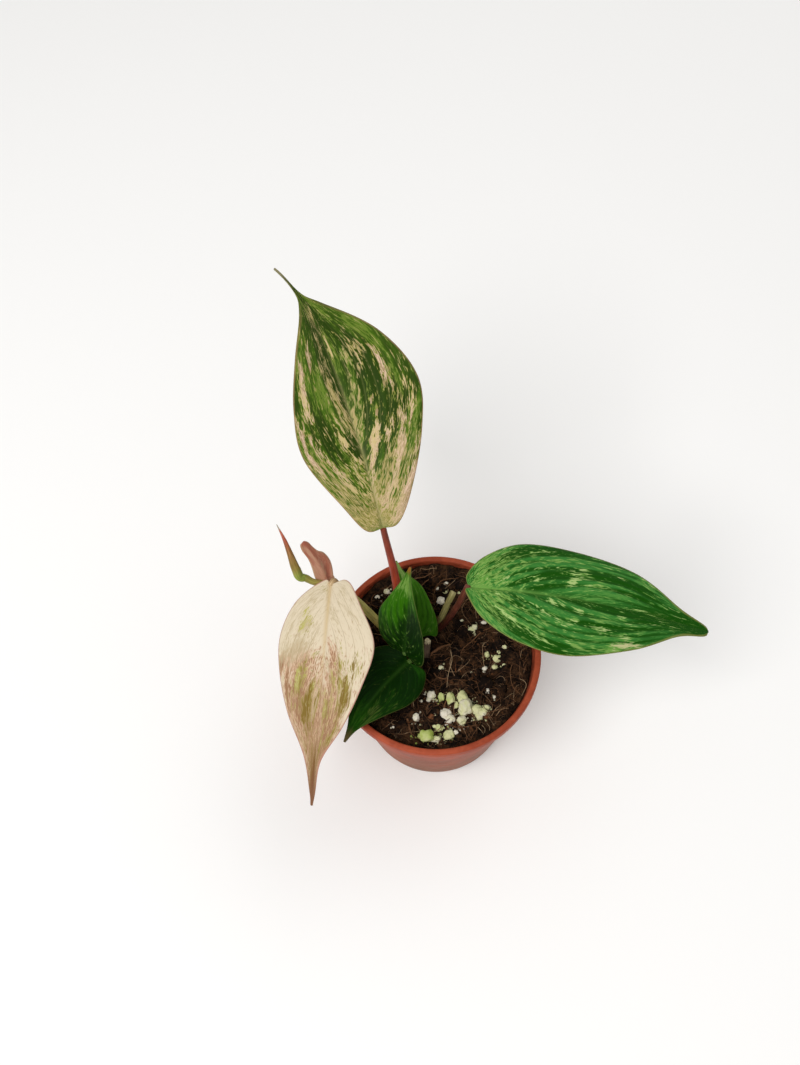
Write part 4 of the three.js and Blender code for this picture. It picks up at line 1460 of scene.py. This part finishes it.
def cutDrainHoles(piece):
    heap = newHeap()
    for k in range(pot["drainHoles"]):
        turn = 2 * math.pi * k / pot["drainHoles"]
        middle = Vector((math.cos(turn), math.sin(turn), 0)) * pot["drainCircleRadius"]
        line = np.array([(middle.x, middle.y, height) for height in (-1, 0.5, 1.5, 3)])
        points, faces = tube(line, np.full(4, pot["drainHoleRadius"]), 40)
        addToHeap(heap, points, faces, 0)
    cutter = bpy.data.meshes.new("drain_holes")
    cutter.from_pydata([tuple(p) for p in np.vstack(heap["points"]) * mm], [], heap["faces"])
    holes = bpy.data.objects.new("drain_holes", cutter)
    bpy.context.scene.collection.objects.link(holes)
    cut = piece.modifiers.new("holes", "BOOLEAN")
    cut.object = holes
    cut.solver = "EXACT"
    bpy.context.view_layer.update()
    shaped = bpy.data.meshes.new_from_object(piece.evaluated_get(bpy.context.evaluated_depsgraph_get()))
    piece.modifiers.clear()
    piece.data = shaped
    bpy.data.objects.remove(holes)


def makePot():
    sides = pot["sides"]
    points, rings = [], []
    for radius, height in potProfile():
        count = sides if radius > 0 else 1
        rings.append([len(points) + i for i in range(count)])
        for i in range(count):
            angle = 2 * math.pi * i / sides
            points.append((radius * math.cos(angle), radius * math.sin(angle), height))
    piece = newPiece("nursery_pot", points, joinRings(rings), potMaterial(), ["pot"])
    cutDrainHoles(piece)
    piece.data.set_sharp_from_angle(angle=math.radians(40))


def potMaterial():
    material, tree, shader = newMaterial("pot_plastic", 0.55, 0.12)
    place = objectPlace(tree)
    parts = addNode(tree, "ShaderNodeSeparateXYZ", {0: place}).outputs
    broad = cloud(tree, place, 90, 2)
    fine = cloud(tree, place, 900, 2)
    scuffs = cloud(tree, stretched(tree, place, (1, 1, 7)), 260, 3, 0.6)
    shade = weighted(tree, 0.5, (broad, 1.2), (scuffs, 0.8), (fine, 0.4))
    colour = mixed(tree, step(tree, shade, 0.2, 0.8), paint(pot["plasticDark"]), paint(pot["plastic"]))
    # soil smeared on the wall above the soil line, and a duller olive-brown that grows towards the bottom
    # of the pot
    outFrom = vectorCalc(tree, "LENGTH", {0: stretched(tree, place, (1, 1, 0))})["Value"]
    taper = calc(tree, "MULTIPLY", parts["Z"], potWallRadius(1) - potWallRadius(0))
    middle = calc(tree, "ADD", taper, (potWallRadius(0) - pot["wall"] / 2) * mm)
    innerSide = step(tree, calc(tree, "SUBTRACT", outFrom, middle), 0.2 * mm, -0.2 * mm)
    smearTop, smearFull = pot["smearHeights"]
    ragged = weighted(tree, parts["Z"], (scuffs, 0.01), (fine, 0.004))
    smear = calc(tree, "MULTIPLY", innerSide, step(tree, ragged, smearTop * mm, smearFull * mm))
    colour = mixed(tree, calc(tree, "MULTIPLY", smear, pot["smeared"]), colour, paint(pot["smear"]))
    low = weighted(tree, parts["Z"], (broad, 0.03))
    lowerTinted = step(tree, low, pot["lowerTintFrom"] * mm, 0.0, 0, pot["lowerTinted"])
    colour = mixed(tree, lowerTinted, colour, paint(pot["lowerTint"]))
    tree.links.new(colour, shader.inputs["Base Color"])
    tree.links.new(weighted(tree, 0.5, (scuffs, 0.5), (fine, 0.2)), shader.inputs["Roughness"])
    addBump(tree, shader, weighted(tree, fine, (scuffs, 0.8)), 0.05, 0.4)
    return material


makePot()
print("pot made")


# Soil, with bark, fibres and perlite

soil = {
    "level": 43,
    "roughness": 0.33,
    "bank": 5.6,  # how much higher it lies against the wall at the back of the pot
    "bankFront": 0.25,  # and what share of that at the front
    "bankFrom": 12,  # how far out it begins to rise, and where it is full
    "bankFull": 27,
    "lumps": 1.5,  # height of its finer unevenness
    "rings": 96,
    "sides": 360,
    "sideHeights": (38, 20, 3),  # of its rings of points down the pot's wall
    "bottom": 2.2,
    "grains": [
        # how many, smallest and largest size, how flat, and how far its colour reaches
        {"count": 1000, "sizes": (0.25, 0.8), "flat": 0.8, "tint": (0.0, 0.9)},
        {"count": 420, "sizes": (0.7, 1.7), "flat": 0.7, "tint": (0.0, 0.6)},
        {"count": 120, "sizes": (1.4, 2.8), "flat": 0.6, "tint": (0.0, 0.45)},
    ],
    "chips": 90,
    "crumbShapes": 14,
    "seed": 5,
    "dark": "#0f0602",
    "brown": "#442c19",
    "red": "#794a2d",
}


def soilBank(x, y):
    out = ease(math.hypot(x, y), soil["bankFrom"], soil["bankFull"])
    back = 0.5 + 0.5 * y / (math.hypot(x, y) + 1)
    return soil["bank"] * out * (soil["bankFront"] + (1 - soil["bankFront"]) * back)


def soilTop(x, y):
    broad = math.sin(0.55 * x + 0.4) * math.cos(0.47 * y)
    waves = broad + 0.6 * math.sin(0.9 * y + 0.35 * x) + 0.5 * math.cos(1.3 * x - 0.8 * y)
    return soil["level"] + soil["roughness"] * waves + soilBank(x, y)


def soilSurface(x, y):
    rough = noise.fractal(Vector((x * 0.3, y * 0.3, 3.1)), 0.8, 2.2, 5)
    nearWall = 1 - 0.6 * ease(math.hypot(x, y), 23, 27)
    return soilTop(x, y) + soil["lumps"] * rough * nearWall


def insideWall(height):
    return potWallRadius(height) - pot["wall"] - 0.15


def soilMaterial(name, bright):
    material, tree, shader = newMaterial(name, 0.92, 0.15)
    place = objectPlace(tree)
    coarse = cloud(tree, place, 300, 3, 0.6)
    fine = cloud(tree, place, 1500, 3, 0.65)
    tint = reading(tree, "tint")
    shade = weighted(tree, tint, (coarse, 2.0), (fine, 1.6))
    colour = mixed(tree, step(tree, shade, 0.05, 0.8), paint(soil["dark"]), paint(soil["brown"]))
    colour = mixed(tree, step(tree, shade, 0.7, 1.3, 0, bright), colour, paint(soil["red"]))
    tree.links.new(colour, shader.inputs["Base Color"])
    addBump(tree, shader, weighted(tree, coarse, (fine, 0.8)), 0.35, 0.9)
    return material


def makeSoil():
    rings, sides = soil["rings"], soil["sides"]
    angles = [2 * math.pi * k / sides for k in range(sides)]
    points, index = [(0, 0, soilSurface(0, 0))], [[0]]
    edges = []
    for angle in angles:
        edge = insideWall(soil["level"])
        edge = insideWall(soilSurface(edge * math.cos(angle), edge * math.sin(angle)))
        edges.append(edge)
    for i in range(1, rings + 1):
        index.append([len(points) + k for k in range(sides)])
        for edge, angle in zip(edges, angles):
            x, y = edge * i / rings * math.cos(angle), edge * i / rings * math.sin(angle)
            points.append((x, y, soilSurface(x, y)))
    for height in soil["sideHeights"]:
        radius = insideWall(height)
        index.append([len(points) + k for k in range(sides)])
        points += [(radius * math.cos(angle), radius * math.sin(angle), height) for angle in angles]
    index.append([len(points)])
    points.append((0, 0, soil["bottom"]))
    # turned over, because these rings run from the top down
    faces = [face[:1] + face[:0:-1] for face in joinRings(index)]
    piece = newPiece("soil_bed", points, faces, soilMaterial("soil", 0.5), ["soil"])
    addValues(piece, "tint", np.full(len(points), 0.35))


def roundStone(detail):
    # points and faces of a plain ball of triangles, to be shaped into a crumb or a lump
    mesh = bpy.data.meshes.new("ball")
    shaper = bmesh.new()
    bmesh.ops.create_icosphere(shaper, subdivisions=detail, radius=1)
    shaper.to_mesh(mesh)
    shaper.free()
    points = np.array([v.co for v in mesh.vertices])
    faces = [list(p.vertices) for p in mesh.polygons]
    bpy.data.meshes.remove(mesh)
    return points, faces


def knobbly(points, seed, coarse, fine):
    away = []
    for p in points:
        broad = noise.noise(Vector(p) * 1.3 + Vector((seed, 0, 0)))
        small = noise.noise(Vector(p) * 4.2 + Vector((0, seed, 0)))
        away.append(1 + coarse * broad + fine * small)
    return points * np.array(away)[:, None]


def turnedBy(draw):
    axis = Vector((draw.uniform(-1, 1), draw.uniform(-1, 1), draw.uniform(-1, 1))).normalized()
    return np.array(Matrix.Rotation(draw.uniform(0, 2 * math.pi), 3, axis))


def anywhere(draw, fromEdge):
    # a place on the soil, never nearer the wall than asked
    angle = draw.uniform(0, 2 * math.pi)
    out = math.sqrt(draw.random()) * (insideWall(soil["level"]) - fromEdge)
    return out * math.cos(angle), out * math.sin(angle)


def makeCrumbs():
    draw = random.Random(soil["seed"])
    ball, ballFaces = roundStone(2)
    shapes = [knobbly(ball, 7.3 * k, 0.8, 0.35) for k in range(soil["crumbShapes"])]
    heap = newHeap()

    def drop(shape, x, y, lift, tint):
        addToHeap(heap, shape + (x, y, soilSurface(x, y) + lift), ballFaces, tint)

    for grain in soil["grains"]:
        small, large = grain["sizes"]
        for _ in range(grain["count"]):
            size = small + (large - small) * draw.random() ** 1.8
            scale = np.array([draw.uniform(0.7, 1.2), draw.uniform(0.6, 1.0), grain["flat"]]) * size
            x, y = anywhere(draw, 0.2 + size)
            tint = draw.uniform(*grain["tint"])
            shape = (draw.choice(shapes) * scale) @ turnedBy(draw).T
            drop(shape, x, y, draw.uniform(-0.5, 0.1) * size, tint)
    for _ in range(soil["chips"]):
        size = draw.uniform(0.4, 0.9)
        scale = np.array([draw.uniform(1.6, 3.0), draw.uniform(0.6, 1.0), draw.uniform(0.25, 0.5)]) * size
        shape = (draw.choice(shapes) * scale) @ turnedBy(draw).T
        shape[:, 2] *= 0.6
        x, y = anywhere(draw, 1.5 + size)
        drop(shape, x, y, 0.3 * size, draw.uniform(0.3, 1.1))
    heapPiece("soil_crumbs", heap, soilMaterial("crumbs", 0.9))


fibres = {
    "groups": [
        # how many, shortest and longest, thinnest and thickest radius, how high they arch, palest tint
        {"count": 640, "lengths": (2.5, 9), "radii": (0.035, 0.075), "arch": (0.2, 1.5), "palest": 0.8},
        {"count": 130, "lengths": (5, 15), "radii": (0.06, 0.13), "arch": (0.2, 1.6), "palest": 0.8},
        {"count": 34, "lengths": (6, 14), "radii": (0.12, 0.28), "arch": (0.1, 0.8), "palest": 0.45},
    ],
    "sides": 6,
    "steps": 12,
    "thinner": 0.6,  # how much of its thickness a fibre loses along its length
    "seed": 21,
    "dark": "#2b190e",
    "brown": "#6f4b30",
    "pale": "#b59a78",
    # single ones that show: points x, y and height over the soil, thickest radius, and how pale
    "placed": [
        ([(4.6, 2.6, 0.3), (4.8, -0.7, 1.0), (3.5, -4.7, 1.1), (2.6, -8.9, 0.2)], 0.16, 0.85),
        ([(-1.8, 1.0, 0.4), (1.9, 3.2, 0.7), (5.0, 4.4, 0.2)], 0.6, 0.4),
        ([(-9.0, 22.0, 0.3), (-4.7, 22.9, 1.2), (0.6, 24.4, 1.0)], 0.33, 0.55),
        ([(-4.5, 19.5, 0.3), (-1.8, 22.0, 1.0), (2.0, 23.8, 0.8)], 0.26, 0.5),
        ([(0.5, 19.8, 0.3), (3.5, 22.2, 1.2), (8.8, 23.0, 0.6)], 0.18, 0.5),
        ([(1.3, -19.7, 0.2), (5.9, -21.3, 0.8), (10.5, -21.0, 0.4)], 0.22, 0.4),
        ([(23.4, -8.0, 0.3), (24.9, -10.7, 1.6), (23.4, -13.6, 0.3)], 0.09, 0.9),
        ([(10.2, -21.6, 0.4), (11.0, -22.8, 1.5), (11.8, -23.6, 0.5)], 0.08, 1.0),
        ([(11.6, -20.6, 0.3), (12.2, -22.4, 1.7), (12.0, -23.5, 1.2)], 0.08, 1.0),
        ([(13.0, -20.2, 0.3), (13.6, -21.6, 1.4), (13.5, -22.6, 0.6)], 0.07, 0.95),
        ([(-9.2, -17.4, 0.2), (-8.8, -20, 0.7), (-8.3, -22.6, 0.4)], 0.4, 0.4),
        ([(12.5, -18.6, 0.3), (15.4, -17.2, 1.0), (18.6, -16.4, 0.6)], 0.22, 0.6),
        ([(14.2, -18.9, 0.4), (16.0, -16.4, 1.1), (17.4, -15.4, 0.9)], 0.14, 0.8),
        ([(15.8, -18.4, 0.4), (17.5, -17.0, 1.2), (19.4, -16.9, 0.6)], 0.12, 0.75),
        ([(2.5, -0.8, 0.3), (8.0, 1.5, 0.9), (12.5, 0.5, 0.3)], 0.1, 0.5),
    ],
}


def fibreMaterial():
    material, tree, shader = newMaterial("fibres", 0.75, 0.2)
    place = objectPlace(tree)
    tint = weighted(tree, reading(tree, "tint"), (cloud(tree, place, 700, 2), 0.6))
    colour = mixed(tree, step(tree, tint, 0.0, 0.5), paint(fibres["dark"]), paint(fibres["brown"]))
    colour = mixed(tree, step(tree, tint, 0.5, 1.0), colour, paint(fibres["pale"]))
    tree.links.new(colour, shader.inputs["Base Color"])
    addBump(tree, shader, cloud(tree, place, 2500, 2), 0.04, 0.6)
    return material


def wanderingLine(draw, group):
    x, y = anywhere(draw, 1.0)
    heading = draw.uniform(0, 2 * math.pi)
    length = draw.uniform(*group["lengths"])
    arch = draw.uniform(*group["arch"])
    lift = draw.uniform(0.0, 0.5)
    bend = draw.gauss(0, 0.2)
    steps = fibres["steps"]
    line = []
    for k in range(steps + 1):
        line.append((x, y, soilSurface(x, y) + lift + arch * math.sin(math.pi * k / steps)))
        bend += draw.gauss(0, 0.16)
        heading += bend * 0.5
        nextX = x + math.cos(heading) * length / steps
        nextY = y + math.sin(heading) * length / steps
        if math.hypot(nextX, nextY) > insideWall(soil["level"]) - 0.3:
            heading += 1.2
            nextX, nextY = x * 0.97, y * 0.97
        x, y = nextX, nextY
    return np.array(line)


def makeFibres():
    draw = random.Random(fibres["seed"])
    heap = newHeap()

    def lay(line, radius, tint):
        taper = 1 - fibres["thinner"] * np.linspace(0, 1, len(line))
        points, faces = tube(line, radius * taper, fibres["sides"])
        addToHeap(heap, points, faces, tint)

    for corners, radius, tint in fibres["placed"]:
        line, _ = smoothRoute(corners, np.linspace(0, 1, 22))
        line[:, 2] += [soilSurface(x, y) for x, y, _ in line]
        lay(line, radius, tint)
    for group in fibres["groups"]:
        thin, thick = group["radii"]
        for _ in range(group["count"]):
            line = wanderingLine(draw, group)
            lay(line, thin + (thick - thin) * draw.random() ** 2, group["palest"] * draw.random() ** 1.3)
    heapPiece("coir_fibres", heap, fibreMaterial())


perlite = {
    "white": "#e2dac8",
    "cream": "#d0cf9c",
    "green": "#9dae4c",
    "dirt": "#5c4c36",
    # lumps: x, y, half width, half length, and how green the algae has made it
    "lumps": [
        (6.9, -12.4, 1.7, 2.3, 0.6), (7.4, -15.3, 2.2, 2.6, 0.25), (3.4, -12.6, 1.3, 2.2, 0.65),
        (4.7, -14.3, 1.1, 1.2, 0.6), (1.4, -16.7, 2.0, 1.7, 0.0), (2.6, -18.5, 1.9, 1.6, 0.05),
        (6.0, -19.2, 1.6, 1.5, 0.2), (10.6, -16.5, 1.6, 1.7, 0.4), (12.3, -17.2, 1.4, 1.3, 0.35),
        (11.0, -18.3, 1.2, 1.2, 0.3), (13.3, -16.1, 1.0, 1.0, 0.35), (-4.2, -23.2, 2.5, 1.8, 0.9),
        (-1.6, -24.1, 1.7, 1.0, 0.35), (2.3, -23.1, 1.8, 1.6, 0.5), (4.1, -22.5, 0.9, 0.9, 0.05),
        (-0.3, -20.7, 1.3, 1.1, 0.65), (-1.6, -20.3, 0.7, 0.6, 0.5), (0.8, -11.7, 1.0, 1.4, 0.8),
        (-1.9, -11.0, 1.3, 1.3, 0.1), (-2.7, -12.1, 0.8, 0.8, 0.1), (-6.7, -17.4, 1.1, 1.3, 0.15),
        (-4.8, -12.2, 0.45, 0.5, 0.0), (-3.8, -10.2, 0.4, 0.45, 0.0), (1.5, -2.9, 0.9, 0.85, 0.2),
        (17.8, -1.6, 1.4, 1.2, 0.5), (15.0, 0.0, 0.8, 1.0, 0.45), (18.6, 0.3, 0.8, 0.7, 0.45),
        (20.0, 1.4, 1.1, 0.9, 0.4), (19.5, -3.8, 0.7, 0.6, 0.3), (16.8, -4.1, 1.0, 0.7, 0.45),
        (14.0, -4.0, 0.9, 0.8, 0.15), (14.2, -10.6, 0.45, 0.65, 0.0), (15.8, -13.1, 0.5, 0.6, 0.0),
        (11.1, 8.0, 1.3, 1.1, 0.25), (12.3, 8.9, 1.0, 0.9, 0.2), (14.9, 9.6, 0.9, 0.6, 0.1),
        (3.1, 17.4, 1.6, 1.4, 0.0), (4.4, 16.8, 0.9, 0.9, 0.05), (6.9, 15.3, 0.9, 1.0, 0.15),
        (2.2, 20.7, 0.7, 0.6, 0.1), (4.8, 21.6, 0.8, 0.7, 0.05), (4.4, 19.8, 0.9, 0.9, 0.3),
        (8.4, 18.8, 0.5, 0.5, 0.5), (-15.6, 18.6, 0.9, 0.7, 0.0), (-12.8, 20.0, 1.0, 0.9, 0.25),
        (-13.2, -20.0, 0.45, 0.4, 0.0), (8.7, 11.3, 0.6, 0.5, 0.2), (10.1, -4.7, 0.4, 0.35, 0.0),
        (-2.0, 12.5, 0.6, 0.6, 0.0), (-19.0, 3.0, 1.0, 0.9, 0.1), (-18.0, -9.0, 0.8, 0.7, 0.2),
        (-12.0, 13.0, 0.7, 0.7, 0.0), (21.5, 8.5, 0.9, 0.8, 0.1), (17.0, 15.5, 1.1, 0.9, 0.0),
    ],
    "crumbs": 7,  # times a lump's half width and half length, that lie broken off beside it
    "crumbSizes": (0.1, 0.34),
    "seed": 13,
}


def perliteMaterial():
    material, tree, shader = newMaterial("perlite", 0.9, 0.2)
    place = objectPlace(tree)
    patchy = cloud(tree, place, 420, 2)
    pores = cloud(tree, place, 2200, 2, 0.6)
    green = weighted(tree, reading(tree, "tint"), (patchy, 1.0))
    low = reading(tree, "buried")
    colour = mixed(tree, step(tree, green, 0.0, 0.4), paint(perlite["white"]), paint(perlite["cream"]))
    colour = mixed(tree, step(tree, green, 0.4, 1.1), colour, paint(perlite["green"]))
    dirt = step(tree, weighted(tree, low, (pores, 1.0), (patchy, 1.6)), 0.3, 1.0, 0, 0.75)
    colour = mixed(tree, dirt, colour, paint(perlite["dirt"]))
    tree.links.new(colour, shader.inputs["Base Color"])
    addBump(tree, shader, weighted(tree, pores, (patchy, 0.5)), 0.1, 0.7)
    return material


def makePerlite():
    draw = random.Random(perlite["seed"])
    ball, ballFaces = roundStone(4)
    grain, grainFaces = roundStone(2)
    heap, buried = newHeap(), []
    for k, (x, y, wide, long, green) in enumerate(perlite["lumps"]):
        narrow = min(wide, long)
        shape = knobbly(ball, 3.7 * k + 1, 0.3, 0.13) @ turnedBy(draw).T
        shape = shape * (wide, long, 0.8 * narrow) / np.abs(shape).max(0)
        buried.extend(0.25 + 0.5 * ease(wide + long, 3.0, 0.8) - 0.5 * shape[:, 2] / narrow)
        addToHeap(heap, shape + (x, y, soilTop(x, y) + 0.5 * narrow + 0.2), ballFaces, green)
        for _ in range(int(perlite["crumbs"] * wide * long)):
            size = draw.uniform(*perlite["crumbSizes"])
            angle = draw.uniform(0, 2 * math.pi)
            out = draw.uniform(0.8, 1.9)
            crumbX, crumbY = x + out * wide * math.cos(angle), y + out * long * math.sin(angle)
            if math.hypot(crumbX, crumbY) < insideWall(soil["level"]) - 1:
                crumb = knobbly(grain, draw.uniform(0, 50), 0.5, 0.2) * size @ turnedBy(draw).T
                place = (crumbX, crumbY, soilSurface(crumbX, crumbY) + 0.4 * size)
                addToHeap(heap, crumb + place, grainFaces, green + draw.uniform(-0.1, 0.2))
                buried.extend([draw.uniform(0.2, 0.7)] * len(grain))
    piece = heapPiece("perlite_lumps", heap, perliteMaterial())
    addValues(piece, "buried", buried)


makeSoil()
makeCrumbs()
makeFibres()
makePerlite()
print("soil, crumbs, fibres and perlite made")
